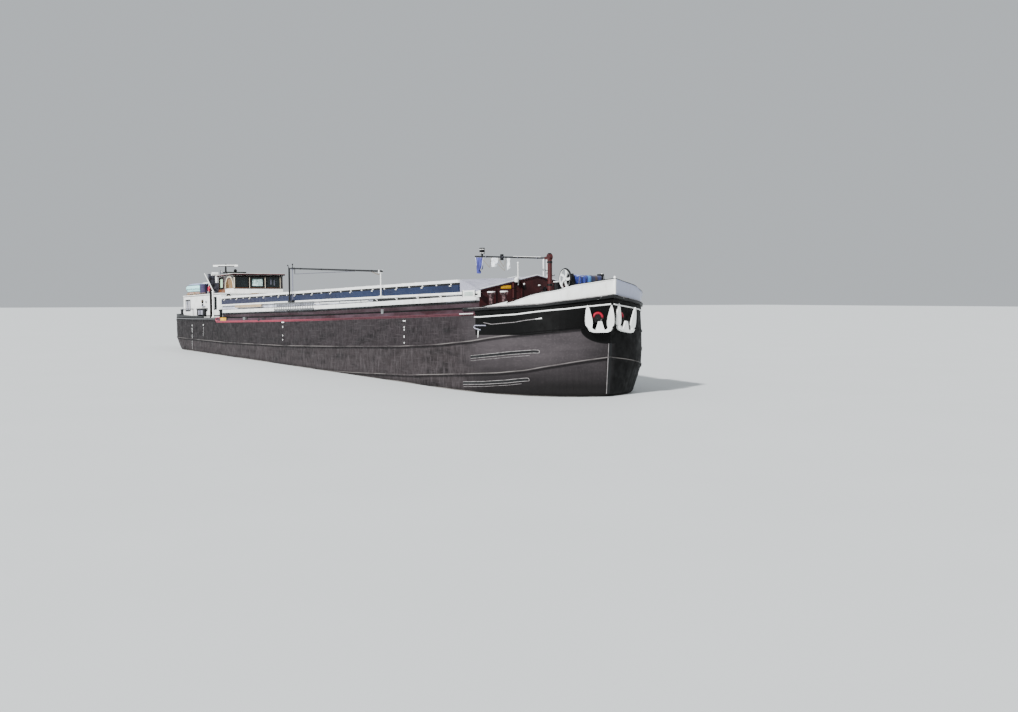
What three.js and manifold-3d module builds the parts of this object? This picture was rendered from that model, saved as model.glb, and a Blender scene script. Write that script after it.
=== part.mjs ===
// River barge: a small unladen motor barge with a long hatched hold.
// Millimetres, +X to the bow, +Y to port, +Z up; the flat bottom lies at z = 0.
import * as THREE from "three";
import { mergeVertices } from "three/addons/utils/BufferGeometryUtils.js";
import Module from "manifold-3d";

const wasm = await Module();
wasm.setup();

// Driving dimensions
const LENGTH = 38500; // over all
const BEAM = 5050; // over the rubbing strakes
const HALF_LENGTH = LENGTH / 2;
const STRAKE_OUT = 22; // how far a strake stands out of the plating
const HALF_BEAM = BEAM / 2 - STRAKE_OUT;
const GAP = 0.4; // air left between pieces that touch in reality
const BILGE_RADIUS = 300;

const FORE_CUT = 15400; // the hull is built in three blocks
const AFT_CUT = -10700;

const HOLD_FLOOR = 200;
const HOLD_AFT = -10300;
const HOLD_FORE = 15050;
const HOLD_HALF = 2370;
const HATCHWAY_HALF = 1930;
const DECK_THICK = 90;

const COAMING_HALF = 1950; // outer face of the coaming plate
const COAMING_PLATE = 16;
const COAMING_TOP = 3155;
const COVER_BOTTOM = 3175;
const COVER_FORE = 14050;
const COVER_AFT = -10450;
const COVER_SECTIONS = 5;
const COVER_EDGE_TOP = 3530;
const COVER_CROWN = 60;

const GABLE_X = 15260;
const GABLE_PEAK = 3610;
const GABLE_SLOPE = 0.22;

const HOUSE_FORE = -10500; // deckhouse trunk
const HOUSE_AFT = -17700;
const HOUSE_HALF = 2000;
const HOUSE_TOP = 3680;
const HOUSE_WALL = 30;

const WHEEL_FORE = -10900; // wheelhouse
const WHEEL_AFT = -13460;
const WHEEL_HALF = 1245;
const WHEEL_TOP = 4590;
const WHEEL_WALL = 40;

// Paints: colour, roughness, metalness
const PAINT = {
  hull: [0x4a4648, 0.75, 0.1],
  black: [0x14181a, 0.55, 0.1],
  white: [0xf0f1ef, 0.45, 0.05],
  maroon: [0x5e3038, 0.6, 0.05],
  blue: [0x33498a, 0.5, 0.1],
  grey: [0xb9b9c4, 0.5, 0.2],
  mastBrown: [0x6d3a3a, 0.5, 0.05],
  varnish: [0xb07a45, 0.35, 0.0],
  bronze: [0xa9803f, 0.35, 0.9],
  glass: [0x8fa6a8, 0.05, 0.0],
  cover: [0xa9cfe0, 0.85, 0.0],
  wood: [0xc9b593, 0.7, 0.0],
  engine: [0x4f6b58, 0.5, 0.2],
  darkPaint: [0x1c1c22, 0.5, 0.2],
};

const group = new THREE.Group();

function addNode(name, solid, paint) {
  const [colour, roughness, metalness] = PAINT[paint];
  const mesh = new THREE.Mesh(
    geometryOf(solid),
    new THREE.MeshStandardMaterial({ color: colour, roughness, metalness }),
  );
  mesh.name = name;
  group.add(mesh);
}

// Solids

function solidOf(geometry) {
  const clean = geometry.index ? geometry.toNonIndexed() : geometry.clone();
  clean.deleteAttribute("normal");
  clean.deleteAttribute("uv");
  const merged = mergeVertices(clean, 1e-3);
  return new wasm.Manifold(
    new wasm.Mesh({
      numProp: 3,
      vertProperties: new Float32Array(merged.attributes.position.array),
      triVerts: new Uint32Array(merged.index.array),
    }),
  );
}

function geometryOf(solid) {
  const mesh = solid.getMesh();
  const geometry = new THREE.BufferGeometry();
  const positions = new Float32Array(mesh.numVert * 3);
  for (let i = 0; i < mesh.numVert; i++) {
    positions.set(
      mesh.vertProperties.subarray(i * mesh.numProp, i * mesh.numProp + 3),
      i * 3,
    );
  }
  geometry.setAttribute("position", new THREE.BufferAttribute(positions, 3));
  geometry.setIndex(new THREE.BufferAttribute(new Uint32Array(mesh.triVerts), 1));
  geometry.computeVertexNormals();
  return geometry;
}

function fromTriangles(points, triangles) {
  const geometry = new THREE.BufferGeometry();
  geometry.setAttribute(
    "position",
    new THREE.BufferAttribute(new Float32Array(points.flat()), 3),
  );
  geometry.setIndex(triangles.flat());
  return solidOf(geometry);
}

function join(...solids) {
  return solids.reduce((all, next) => all.add(next));
}

function cut(solid, ...tools) {
  return tools.reduce((left, tool) => left.subtract(tool), solid);
}

// A box from its low and high corners.
function box(low, high) {
  const size = high.map((value, axis) => value - low[axis]);
  const geometry = new THREE.BoxGeometry(...size);
  geometry.translate(
    (low[0] + high[0]) / 2,
    (low[1] + high[1]) / 2,
    (low[2] + high[2]) / 2,
  );
  return solidOf(geometry);
}

const AXIS_TURN = {
  x: new THREE.Matrix4().makeRotationZ(-Math.PI / 2),
  y: new THREE.Matrix4(),
  z: new THREE.Matrix4().makeRotationX(Math.PI / 2),
};

// A round bar centred on a point, along an axis; end radii may differ.
function bar(centre, axis, length, radius, sides = 16, farRadius = radius) {
  const geometry = new THREE.CylinderGeometry(farRadius, radius, length, sides);
  geometry.applyMatrix4(AXIS_TURN[axis]);
  geometry.translate(...centre);
  return solidOf(geometry);
}

// A round bar between two points.
function rod(from, to, radius, sides = 10) {
  const start = new THREE.Vector3(...from);
  const end = new THREE.Vector3(...to);
  const way = end.clone().sub(start);
  const geometry = new THREE.CylinderGeometry(radius, radius, way.length(), sides);
  const turn = new THREE.Quaternion().setFromUnitVectors(
    new THREE.Vector3(0, 1, 0),
    way.clone().normalize(),
  );
  geometry.applyQuaternion(turn);
  geometry.translate(...start.add(end).multiplyScalar(0.5).toArray());
  return solidOf(geometry);
}

function ball(centre, radius) {
  return solidOf(new THREE.SphereGeometry(radius, 12, 8).translate(...centre));
}

function ring(centre, axis, radius, thick, sides = 24, round = 8) {
  const geometry = new THREE.TorusGeometry(radius, thick, round, sides);
  if (axis === "x") geometry.rotateY(Math.PI / 2);
  if (axis === "y") geometry.rotateX(Math.PI / 2);
  geometry.translate(...centre);
  return solidOf(geometry);
}

// A closed outline in Y and Z, swept along X from one place to another.
function alongX(outline, from, to) {
  const shape = new THREE.Shape(outline.map(([y, z]) => new THREE.Vector2(y, z)));
  const geometry = new THREE.ExtrudeGeometry(shape, {
    depth: to - from,
    bevelEnabled: false,
  });
  // The shape's plane turns from X, Y to Y, Z and its depth to X.
  geometry.applyMatrix4(
    new THREE.Matrix4().set(0, 0, 1, from, 1, 0, 0, 0, 0, 1, 0, 0, 0, 0, 0, 1),
  );
  return solidOf(geometry);
}

// A closed outline in X and Z, swept along Y.
function alongY(outline, from, to) {
  const shape = new THREE.Shape(outline.map(([x, z]) => new THREE.Vector2(x, -z)));
  const geometry = new THREE.ExtrudeGeometry(shape, {
    depth: to - from,
    bevelEnabled: false,
  });
  geometry.applyMatrix4(
    new THREE.Matrix4().set(1, 0, 0, 0, 0, 0, 1, from, 0, -1, 0, 0, 0, 0, 0, 1),
  );
  return solidOf(geometry);
}

// A closed outline in X and Y, swept up in Z.
function upwards(outline, from, to) {
  const shape = new THREE.Shape(outline.map(([x, y]) => new THREE.Vector2(x, y)));
  const geometry = new THREE.ExtrudeGeometry(shape, {
    depth: to - from,
    bevelEnabled: false,
  });
  geometry.translate(0, 0, from);
  return solidOf(geometry);
}

function mirrored(solid) {
  return solid.mirror([0, 1, 0]);
}

// Curves read from short tables of place and value

function curve(table) {
  return (x) => {
    if (x <= table[0][0]) return table[0][1];
    for (let i = 1; i < table.length; i++) {
      const [x1, v1] = table[i];
      const [x0, v0] = table[i - 1];
      if (x <= x1) return v0 + ((v1 - v0) * (x - x0)) / (x1 - x0);
    }
    return table[table.length - 1][1];
  };
}

// Heights above the bottom along the ship, as place and height
const deckHeight = curve([
  [-19250, 2640],
  [-17000, 2595],
  [-14000, 2555],
  [-9000, 2532],
  [-2000, 2545],
  [4000, 2575],
  [9000, 2620],
  [13000, 2655],
  [16000, 2690],
  [17500, 2728],
  [18200, 2760],
  [18700, 2855],
  [19250, 3010],
]);
const bandHeight = (x) => deckHeight(x) - 205; // foot of the maroon sheer band
const upperStrake = curve([
  [-19250, 1560],
  [-14000, 1470],
  [-8000, 1370],
  [0, 1345],
  [5000, 1400],
  [11000, 1500],
  [13800, 1603],
  [15700, 1726],
  [16800, 1849],
  [17850, 1943],
  [18500, 2009],
  [18800, 2074],
  [19050, 2130],
]);
const lowerStrake = curve([
  [-19250, 700],
  [-14000, 600],
  [-8600, 530],
  [0, 470],
  [7000, 520],
  [11700, 610],
  [13800, 706],
  [16800, 849],
  [17800, 946],
  [18550, 1115],
  [19050, 1305],
]);

// The plan shape of the hull by height: half breadth, then how each end is drawn
const HALF_BREADTH = curve([
  [0, HALF_BEAM - 300],
  [45, HALF_BEAM - 145],
  [150, HALF_BEAM - 42],
  [300, HALF_BEAM],
]);
const BOW_PLAN = [
  // height, where it ends, length, fullness, how far the stem stands forward of the round
  [0, 18200, 5300, 2.1, 200],
  [45, 18500, 5300, 2.2, 200],
  [150, 18750, 5300, 2.3, 200],
  [300, 18880, 5300, 2.4, 200],
  [530, 18920, 5300, 2.54, 200],
  [700, 18940, 5300, 2.64, 200],
  [1050, 18970, 5300, 2.86, 200],
  [1420, 19000, 5300, 2.89, 200],
  [1900, 19050, 5300, 2.84, 230],
  [2600, 19150, 5300, 2.71, 320],
  [3500, 19255, 5300, 2.7, 360],
];
const STERN_PLAN = [
  // height, where it ends, length, fullness
  [0, -17500, 4600, 1.9],
  [45, -17620, 4500, 1.95],
  [150, -17750, 4300, 2.05],
  [300, -17900, 4100, 2.15],
  [700, -18230, 3700, 2.3],
  [1050, -18700, 3400, 2.45],
  [1420, -19190, 3250, 2.6],
  [1900, -19222, 3200, 2.6],
  [2600, -19228, 3200, 2.6],
];
const STEM_REACH = 1200; // the pointed stem runs into the round bow this far from the middle

// One row of a table of plans, read at a height.
function endPlan(table, height) {
  return table[0]
    .slice(1)
    .map((_, column) => curve(table.map((row) => [row[0], row[column + 1]]))(height));
}

const END_STEPS = 22;
const SIDE_STEPS = 14;
const BOW_CROWDING = 1.3; // points lie closer together towards the stem

// Points of the starboard half of a level's outline, from the stern's middle to the bow's.
function halfOutline(levelHeight, out = 0) {
  const breadth = HALF_BREADTH(levelHeight(0));
  const [bowEnd, bowLength, bowFull, stemPush] = endPlan(BOW_PLAN, levelHeight(18300));
  const [sternEnd, sternLength, sternFull] = endPlan(STERN_PLAN, levelHeight(-18500));
  const half = [];
  for (let i = 0; i <= END_STEPS; i++) {
    const angle = (Math.PI / 2) * (i / END_STEPS);
    half.push([
      sternEnd + sternLength - sternLength * Math.pow(Math.cos(angle), 2 / sternFull),
      -breadth * Math.pow(Math.sin(angle), 2 / sternFull),
    ]);
  }
  const sternShoulder = sternEnd + sternLength;
  const bowShoulder = bowEnd - bowLength;
  for (let i = 1; i < SIDE_STEPS; i++) {
    half.push([
      sternShoulder + ((bowShoulder - sternShoulder) * i) / SIDE_STEPS,
      -breadth,
    ]);
  }
  for (let i = END_STEPS; i >= 0; i--) {
    const angle = (Math.PI / 2) * (i / END_STEPS) ** BOW_CROWDING;
    const y = breadth * Math.pow(Math.sin(angle), 2 / bowFull);
    const round = (bowLength - stemPush) * Math.pow(Math.cos(angle), 2 / bowFull);
    const stem = stemPush * Math.max(0, 1 - y / STEM_REACH) ** 2;
    half.push([bowShoulder + round + stem, -y]);
  }
  half[0][1] = 0;
  half[half.length - 1][1] = 0;
  return half.map((point, i) => {
    const [nx, ny] = outwards(half, i);
    return [point[0] + nx * out, point[1] + ny * out];
  });
}

function outwards(half, i) {
  if (i === 0) return [-1, 0];
  if (i === half.length - 1) return [1, 0];
  const [x0, y0] = half[i - 1];
  const [x1, y1] = half[i + 1];
  const span = Math.hypot(x1 - x0, y1 - y0);
  return [(y1 - y0) / span, -(x1 - x0) / span];
}

// Hull

// Each level of the plating: how far it stands out and its height along the ship
const LEVELS = [
  { out: 0, height: () => 0 },
  { out: 0, height: () => 45 },
  { out: 0, height: () => 150 },
  { out: 0, height: () => 300 },
  { out: 0, height: (x) => lowerStrake(x) - 35 },
  { out: STRAKE_OUT, height: (x) => lowerStrake(x) - 22 },
  { out: STRAKE_OUT, height: (x) => lowerStrake(x) + 22 },
  { out: 0, height: (x) => lowerStrake(x) + 35 },
  { out: 0, height: (x) => (lowerStrake(x) + upperStrake(x)) / 2 },
  { out: 0, height: (x) => upperStrake(x) - 35 },
  { out: STRAKE_OUT, height: (x) => upperStrake(x) - 22 },
  { out: STRAKE_OUT, height: (x) => upperStrake(x) + 22 },
  { out: 0, height: (x) => upperStrake(x) + 40 },
  { out: 0, height: (x) => (upperStrake(x) + bandHeight(x)) / 2 },
  { out: 0, height: bandHeight },
  { out: STRAKE_OUT, height: (x) => bandHeight(x) + 12 },
  { out: STRAKE_OUT, height: (x) => bandHeight(x) + 78 },
  { out: 8, height: (x) => bandHeight(x) + 90 },
  { out: 8, height: deckHeight },
];

// The whole hull as one solid; grown, it is the air that fitted pieces leave round it.
function hullPlating(grow = 0) {
  const rings = LEVELS.map(({ out, height }, level) => {
    const half = halfOutline(height, out + grow);
    const lift = level === LEVELS.length - 1 ? grow : 0;
    const port = half
      .slice(1, -1)
      .reverse()
      .map(([x, y]) => [x, -y]);
    return [...half, ...port].map(([x, y]) => [x, y, height(x) + lift]);
  });
  const around = rings[0].length;
  const last = (around + 2) / 2 - 1; // index of the stem
  const points = rings.flat();
  const triangles = [];
  for (let level = 0; level + 1 < rings.length; level++) {
    for (let i = 0; i < around; i++) {
      const a = level * around + i;
      const b = level * around + ((i + 1) % around);
      triangles.push([a, b, b + around], [a, b + around, a + around]);
    }
  }
  const opposite = (i) => (around - i) % around;
  const top = (rings.length - 1) * around;
  for (let i = 0; i < last; i++) {
    const [a, b] = [i, i + 1];
    const [c, d] = [opposite(i + 1), opposite(i)];
    for (const [base, flip] of [
      [0, true],
      [top, false],
    ]) {
      const faces = [];
      if (b !== c) faces.push([a, b, c]);
      if (a !== d) faces.push([a, c, d]);
      for (const face of faces) {
        const place = face.map((index) => index + base);
        triangles.push(flip ? place.reverse() : place);
      }
    }
  }
  return fromTriangles(points, triangles);
}

// A band swept round the deck edge between two places, clear of the plating, with its
// outline given at each point.
function aroundHull({ from, to, profile, bothSides }) {
  const half = halfOutline(deckHeight);
  let path = half.map((point, i) => ({ point, normal: outwards(half, i) }));
  path = path.filter(({ point }) => point[0] >= from && point[0] <= to);
  if (bothSides === "bow") {
    const port = path
      .slice(0, -1)
      .reverse()
      .map(({ point, normal }) => ({
        point: [point[0], -point[1]],
        normal: [normal[0], -normal[1]],
      }));
    path = [...path, ...port];
  }
  if (bothSides === "stern") {
    const port = path
      .slice(1)
      .reverse()
      .map(({ point, normal }) => ({
        point: [point[0], -point[1]],
        normal: [normal[0], -normal[1]],
      }));
    path = [...port, ...path];
  }
  const sections = path.map(({ point, normal }) =>
    profile(point[0]).map(([out, z]) => [
      point[0] + normal[0] * out,
      point[1] + normal[1] * out,
      z,
    ]),
  );
  return cut(swept(sections, profile(path[0].point[0])), roundHull);
}

// A solid through a row of matching sections; the flat outline closes both ends.
function swept(sections, flatOutline) {
  const count = sections[0].length;
  const points = sections.flat();
  const triangles = [];
  for (let s = 0; s + 1 < sections.length; s++) {
    for (let i = 0; i < count; i++) {
      const a = s * count + i;
      const b = s * count + ((i + 1) % count);
      triangles.push([a, b + count, b], [a, a + count, b + count]);
    }
  }
  const flat = flatOutline.map(([u, v]) => new THREE.Vector2(u, v));
  const clockwise = THREE.ShapeUtils.area(flat) < 0;
  const faces = THREE.ShapeUtils.triangulateShape(flat, []).map((face) =>
    clockwise ? [...face].reverse() : face,
  );
  const end = (sections.length - 1) * count;
  for (const face of faces) {
    triangles.push([...face]);
    triangles.push([...face].reverse().map((index) => index + end));
  }
  const solid = fromTriangles(points, triangles);
  if (solid.volume() > 0) return solid;
  return fromTriangles(
    points,
    triangles.map((face) => [...face].reverse()),
  );
}

const plating = hullPlating();
// The deck as the plating's top ring has it: exact for whatever stands on it
const deckPlaces = halfOutline(deckHeight, 8).map(([x]) => x);
const deckTop = curve(deckPlaces.map((x) => [x, deckHeight(x)]));
const overDeck = plating.translate([0, 0, GAP]);
const roundHull = hullPlating(GAP);
const FAR = 30000;

const TUNNEL_HALF = 620; // the propeller and rudder work in a recess under the counter
const SHAFT_HEIGHT = 540;
const tunnel = alongY(
  [
    [-FAR, -100],
    [-15900, -100],
    [-17150, 640],
    [-17500, 1110],
    [-FAR, 1110],
  ],
  -TUNNEL_HALF,
  TUNNEL_HALF,
);
const SHAFT_RADIUS = 56;
const BORE_RADIUS = SHAFT_RADIUS + 0.9; // its flats clear the shaft as it turns
const shaftBore = bar([-16900, 0, SHAFT_HEIGHT], "x", 1200, BORE_RADIUS, 20);
const RUDDER_STOCK_X = -18640;
const stockBore = bar([RUDDER_STOCK_X, 0, 1900], "z", 3000, BORE_RADIUS, 20);

const hullFore = plating.intersect(box([FORE_CUT + GAP, -FAR, -100], [FAR, FAR, 6000]));
addNode("hull_fore", hullFore, "hull");

// An outline drawn in all round by a small distance.
function insetPlan(outline, inset) {
  const middle = (Math.max(...outline.map(([x]) => x)) + Math.min(...outline.map(([x]) => x))) / 2;
  return outline.map(([x, y]) => [
    x - Math.sign(x - middle) * inset,
    y - Math.sign(y) * inset,
  ]);
}

const holdPlan = [
  [HOLD_AFT, -HOLD_HALF],
  [12000, -HOLD_HALF],
  [HOLD_FORE, -2080],
  [HOLD_FORE, 2080],
  [12000, HOLD_HALF],
  [HOLD_AFT, HOLD_HALF],
];
addNode(
  "hull_middle",
  cut(
    plating.intersect(box([AFT_CUT, -FAR, -100], [FORE_CUT, FAR, 6000])),
    upwards(holdPlan, HOLD_FLOOR, 4000),
  ),
  "hull",
);
// The deck beside the hatchway, over the wings of the hold
const sideDeck = plating
  .intersect(upwards(insetPlan(holdPlan, GAP), 2532 - DECK_THICK, 4000))
  .intersect(box([-FAR, -FAR, 0], [FAR, -HATCHWAY_HALF, 4000]));
addNode("side_deck_starboard", sideDeck, "hull");
addNode("side_deck_port", mirrored(sideDeck), "hull");

const ENGINE_ROOM = [
  [-13250, -1350, 330],
  [-10980, 1350, 4000],
];
const CABIN_WELL = [
  [-17000, -1750, 1720],
  [-13550, 1750, 4000],
];
const hullAft = cut(
  plating.intersect(box([-FAR, -FAR, -100], [AFT_CUT - GAP, FAR, 6000])),
  tunnel,
  shaftBore,
  stockBore,
  box(...ENGINE_ROOM),
  box(...CABIN_WELL),
);
addNode("hull_aft", hullAft, "hull");

// Bulwarks and rails

const BULWARK_TIP = 16900;
const bulwarkTop = curve([
  [BULWARK_TIP, 2730],
  [17500, 2860],
  [18010, 3023],
  [18490, 3120],
  [18690, 3242],
  [19250, 3440],
]);

const bulwarkLean = curve([
  [BULWARK_TIP, 0],
  [18600, 55],
  [19250, 88],
]);

// The bow plate with a bead on its edge, from a point on each side round the stem.
addNode(
  "bulwark_fore",
  aroundHull({
    from: BULWARK_TIP,
    to: FAR,
    bothSides: "bow",
    profile: (x) => {
      const foot = deckTop(x) - 5;
      const top = Math.max(bulwarkTop(x), foot + 65);
      const lean = bulwarkLean(x);
      return [
        [6, foot],
        [lean, top - 45],
        [lean + 17, top - 35],
        [lean + 17, top - 10],
        [lean + 8, top],
        [lean - 28, top],
        [lean - 38, top - 10],
        [lean - 38, top - 35],
        [lean - 14, top - 45],
        [-8, foot],
      ];
    },
  }),
  "white",
);

addNode(
  "rub_rail_fore",
  aroundHull({
    from: 15000,
    to: FAR,
    bothSides: "bow",
    profile: (x) => {
      const top = deckTop(x) - 6;
      return [
        [0, top - 104],
        [60, top - 86],
        [60, top - 18],
        [0, top],
      ];
    },
  }),
  "black",
);

const sternTop = curve([
  [-19250, 2800],
  [-17000, 2755],
  [-14000, 2650],
  [-11300, 2575],
]);
addNode(
  "bulwark_stern",
  aroundHull({
    from: -FAR,
    to: -11200,
    bothSides: "stern",
    profile: (x) => {
      const foot = deckTop(x) - 5;
      const top = Math.max(sternTop(x), foot + 20);
      return [
        [-14, foot],
        [0, foot],
        [0, top],
        [-30, top],
        [-30, top - 10],
        [-14, top - 10],
      ];
    },
  }),
  "black",
);

// Coamings round the hatchway
const COAMING_ENDS = [HOLD_AFT - 140, GABLE_X - 20];
const coamingPlaces = [
  COAMING_ENDS[0],
  ...deckPlaces.filter((x) => x > COAMING_ENDS[0] + 50 && x < COAMING_ENDS[1] - 50),
  COAMING_ENDS[1],
];
const coamingProfile = (x) => {
  const foot = deckTop(x) + GAP;
  const ledge = foot + 215;
  return [
    [-COAMING_HALF + COAMING_PLATE, foot],
    [-COAMING_HALF + COAMING_PLATE, COAMING_TOP],
    [-COAMING_HALF - 105, COAMING_TOP],
    [-COAMING_HALF - 105, COAMING_TOP - 62],
    [-COAMING_HALF, COAMING_TOP - 68],
    [-COAMING_HALF, ledge + 155],
    [-COAMING_HALF - 112, ledge + 145],
    [-COAMING_HALF - 112, ledge + 8],
    [-COAMING_HALF, ledge],
    [-COAMING_HALF, foot],
  ];
};
const coamingSide = swept(
  coamingPlaces.map((x) => coamingProfile(x).map(([y, z]) => [x, y, z])),
  coamingProfile(coamingPlaces[0]),
);
addNode("coaming_starboard", coamingSide, "maroon");
addNode("coaming_port", mirrored(coamingSide), "maroon");

const gableHeight = (y) => GABLE_PEAK - GABLE_SLOPE * Math.abs(y);
const GABLE_HALF = COAMING_HALF + 2;
addNode(
  "coaming_fore",
  cut(
    alongX(
      [
        [-GABLE_HALF, 2500],
        [GABLE_HALF, 2500],
        [GABLE_HALF, gableHeight(GABLE_HALF)],
        [0, GABLE_PEAK],
        [-GABLE_HALF, gableHeight(GABLE_HALF)],
      ],
      GABLE_X,
      GABLE_X + COAMING_PLATE,
    ),
    overDeck,
  ),
  "maroon",
);

// Hatch covers: hollow cambered sections with a recessed band under the edge
const CAMBER_STEPS = 8;
function camber(half, edge, crown) {
  const points = [];
  for (let i = 0; i <= CAMBER_STEPS; i++) {
    const y = half - (2 * half * i) / CAMBER_STEPS;
    points.push([y, edge + crown * (1 - (y / half) ** 2)]);
  }
  return points;
}
const coverFoot = COAMING_TOP + GAP;
const coverOutline = [
  [1990, coverFoot],
  [1990, 3378],
  [1962, 3384],
  [1962, 3438],
  [2015, 3444],
  [2015, COVER_EDGE_TOP],
  ...camber(1930, COVER_EDGE_TOP, COVER_CROWN),
  [-2015, COVER_EDGE_TOP],
  [-2015, 3444],
  [-1962, 3438],
  [-1962, 3384],
  [-1990, 3378],
  [-1990, coverFoot],
  [-1938, coverFoot],
  ...camber(1938, COVER_EDGE_TOP - 30, COVER_CROWN).reverse(),
  [1938, coverFoot],
];
const COVER_LENGTH = (COVER_FORE - COVER_AFT) / COVER_SECTIONS;
const COVER_JOINT = 12;
for (let i = 0; i < COVER_SECTIONS; i++) {
  const from = COVER_AFT + COVER_LENGTH * i;
  addNode(
    `hatch_${i + 1}`,
    alongX(coverOutline, from, from + COVER_LENGTH - COVER_JOINT),
    "blue",
  );
}

const AFT_PLATE_X = COVER_AFT + 10;
addNode(
  "coaming_aft",
  cut(
    alongX(
      [
        [-1930, 2400],
        [1930, 2400],
        ...camber(1930, COVER_EDGE_TOP - 45, COVER_CROWN - 4),
      ],
      AFT_PLATE_X - 12,
      AFT_PLATE_X - 1,
    ),
    overDeck,
  ),
  "maroon",
);

// The sloping apron from the covers' front edge down to the gable
const APRON_AFT = COVER_FORE + 6;
const APRON_FORE = GABLE_X + 35;
const APRON_HALF = 1945;
const apronSections = camber(APRON_HALF, COVER_EDGE_TOP, COVER_CROWN).map(([y, z]) => {
  const low = gableHeight(y) + 30;
  return [
    [APRON_AFT, y, z],
    [APRON_FORE, y, low],
    [APRON_FORE, y, low - 14],
    [APRON_AFT, y, z - 14],
  ];
});
const apronSkirt = alongY(
  [
    [APRON_AFT, COAMING_TOP + GAP],
    [COAMING_ENDS[1] - 5, COAMING_TOP + GAP],
    [COAMING_ENDS[1] - 5, gableHeight(APRON_HALF) + 25],
    [APRON_AFT, COVER_EDGE_TOP - 6],
  ],
  -APRON_HALF,
  -APRON_HALF + 12,
);
addNode(
  "hatch_apron",
  join(
    swept(apronSections, [
      [0, 0],
      [1000, -100],
      [1000, -114],
      [0, -14],
    ]),
    apronSkirt,
    mirrored(apronSkirt),
  ),
  "grey",
);

// Deckhouse
function houseOutline(inset) {
  const radius = 300 - inset;
  const outline = [
    [HOUSE_FORE - inset, -HOUSE_HALF + inset],
    [HOUSE_FORE - inset, HOUSE_HALF - inset],
  ];
  for (const [side, start] of [
    [1, 0],
    [-1, 1],
  ]) {
    for (let i = 0; i <= 6; i++) {
      const angle = (Math.PI / 2) * (start + i / 6);
      outline.push([
        HOUSE_AFT + inset + radius - radius * Math.sin(start ? Math.PI - angle : angle),
        side * (HOUSE_HALF - inset - radius) +
          side * radius * Math.cos(start ? Math.PI - angle : angle),
      ]);
    }
  }
  return outline;
}
// Openings on both sides: fore and aft place, low and high edge
const HOUSE_WINDOWS = [
  { from: -16980, to: -16560, low: 2950, high: 3450 },
  { from: -16500, to: -16080, low: 2950, high: 3450 },
  { from: -11720, to: -11250, low: 2980, high: 3500 },
];
const CABIN_DOOR = { half: 340, low: 2680, high: 3640 };
const houseOpenings = HOUSE_WINDOWS.flatMap(({ from, to, low, high }) => [
  box([from, -HOUSE_HALF - 50, low], [to, -HOUSE_HALF + 100, high]),
  box([from, HOUSE_HALF - 100, low], [to, HOUSE_HALF + 50, high]),
]);
addNode(
  "deckhouse",
  cut(
    upwards(houseOutline(0), 2450, HOUSE_TOP),
    upwards(houseOutline(HOUSE_WALL), 2400, HOUSE_TOP + 100),
    overDeck,
    ...houseOpenings,
    box(
      [HOUSE_AFT - 50, -CABIN_DOOR.half, CABIN_DOOR.low],
      [HOUSE_AFT + 100, CABIN_DOOR.half, CABIN_DOOR.high],
    ),
  ),
  "white",
);
const HOUSE_ROOF = HOUSE_TOP + 42;
addNode(
  "deckhouse_roof",
  cut(
    upwards(houseOutline(-30), HOUSE_TOP + GAP, HOUSE_ROOF),
    box(
      [WHEEL_AFT + 120, -WHEEL_HALF + 160, 3000],
      [WHEEL_FORE - 120, WHEEL_HALF - 160, 5000],
    ),
  ),
  "white",
);
addNode(
  "cabin_door",
  box(
    [HOUSE_AFT + 2, -CABIN_DOOR.half + 6, CABIN_DOOR.low + 6],
    [HOUSE_AFT + 27, CABIN_DOOR.half - GAP, CABIN_DOOR.high - 6],
  ),
  "varnish",
);
const FLOOR_LOW = deckTop(-13400) + GAP;
addNode(
  "wheelhouse_floor",
  box([-13400, -1500, FLOOR_LOW], [-10850, 1500, FLOOR_LOW + 30]),
  "wood",
);

// Wheelhouse
const SILL = 4010;
const HEAD = 4515;
const FRONT_WINDOWS = [-845, -60, 735];
const FRONT_WINDOW_HALF = 343;
const WHEEL_DOOR = { from: -11900, to: -11120, low: 3760, high: 4460 };
const SIDE_WINDOW = { from: -13330, to: -12700 };
const wheelFoot = HOUSE_ROOF + GAP;
const wheelOpenings = [
  ...FRONT_WINDOWS.map((y) =>
    box(
      [WHEEL_FORE - 200, y - FRONT_WINDOW_HALF, SILL],
      [WHEEL_FORE + 200, y + FRONT_WINDOW_HALF, HEAD],
    ),
  ),
  ...[-1, 1].flatMap((side) => [
    box(
      [SIDE_WINDOW.from, side * WHEEL_HALF - 200, SILL],
      [SIDE_WINDOW.to, side * WHEEL_HALF + 200, HEAD],
    ),
    box(
      [WHEEL_DOOR.from, side * WHEEL_HALF - 200, WHEEL_DOOR.low],
      [WHEEL_DOOR.to, side * WHEEL_HALF + 200, WHEEL_DOOR.high],
    ),
    box(
      [WHEEL_AFT - 200, side * 600 - 420, SILL],
      [WHEEL_AFT + 200, side * 600 + 420, HEAD],
    ),
  ]),
];
addNode(
  "wheelhouse",
  cut(
    box([WHEEL_AFT, -WHEEL_HALF, wheelFoot], [WHEEL_FORE, WHEEL_HALF, WHEEL_TOP]),
    box(
      [WHEEL_AFT + WHEEL_WALL, -WHEEL_HALF + WHEEL_WALL, 3000],
      [WHEEL_FORE - WHEEL_WALL, WHEEL_HALF - WHEEL_WALL, 5000],
    ),
    ...wheelOpenings,
  ),
  "varnish",
);
const ROOF_HALF = WHEEL_HALF + 70;
const wheelhouseRoof = alongX(
  [
    [-ROOF_HALF, WHEEL_TOP + GAP],
    [ROOF_HALF, WHEEL_TOP + GAP],
    ...camber(ROOF_HALF, WHEEL_TOP + 55, 50),
  ],
  WHEEL_AFT - 90,
  WHEEL_FORE + 100,
);
addNode("wheelhouse_roof", wheelhouseRoof, "white");
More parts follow.
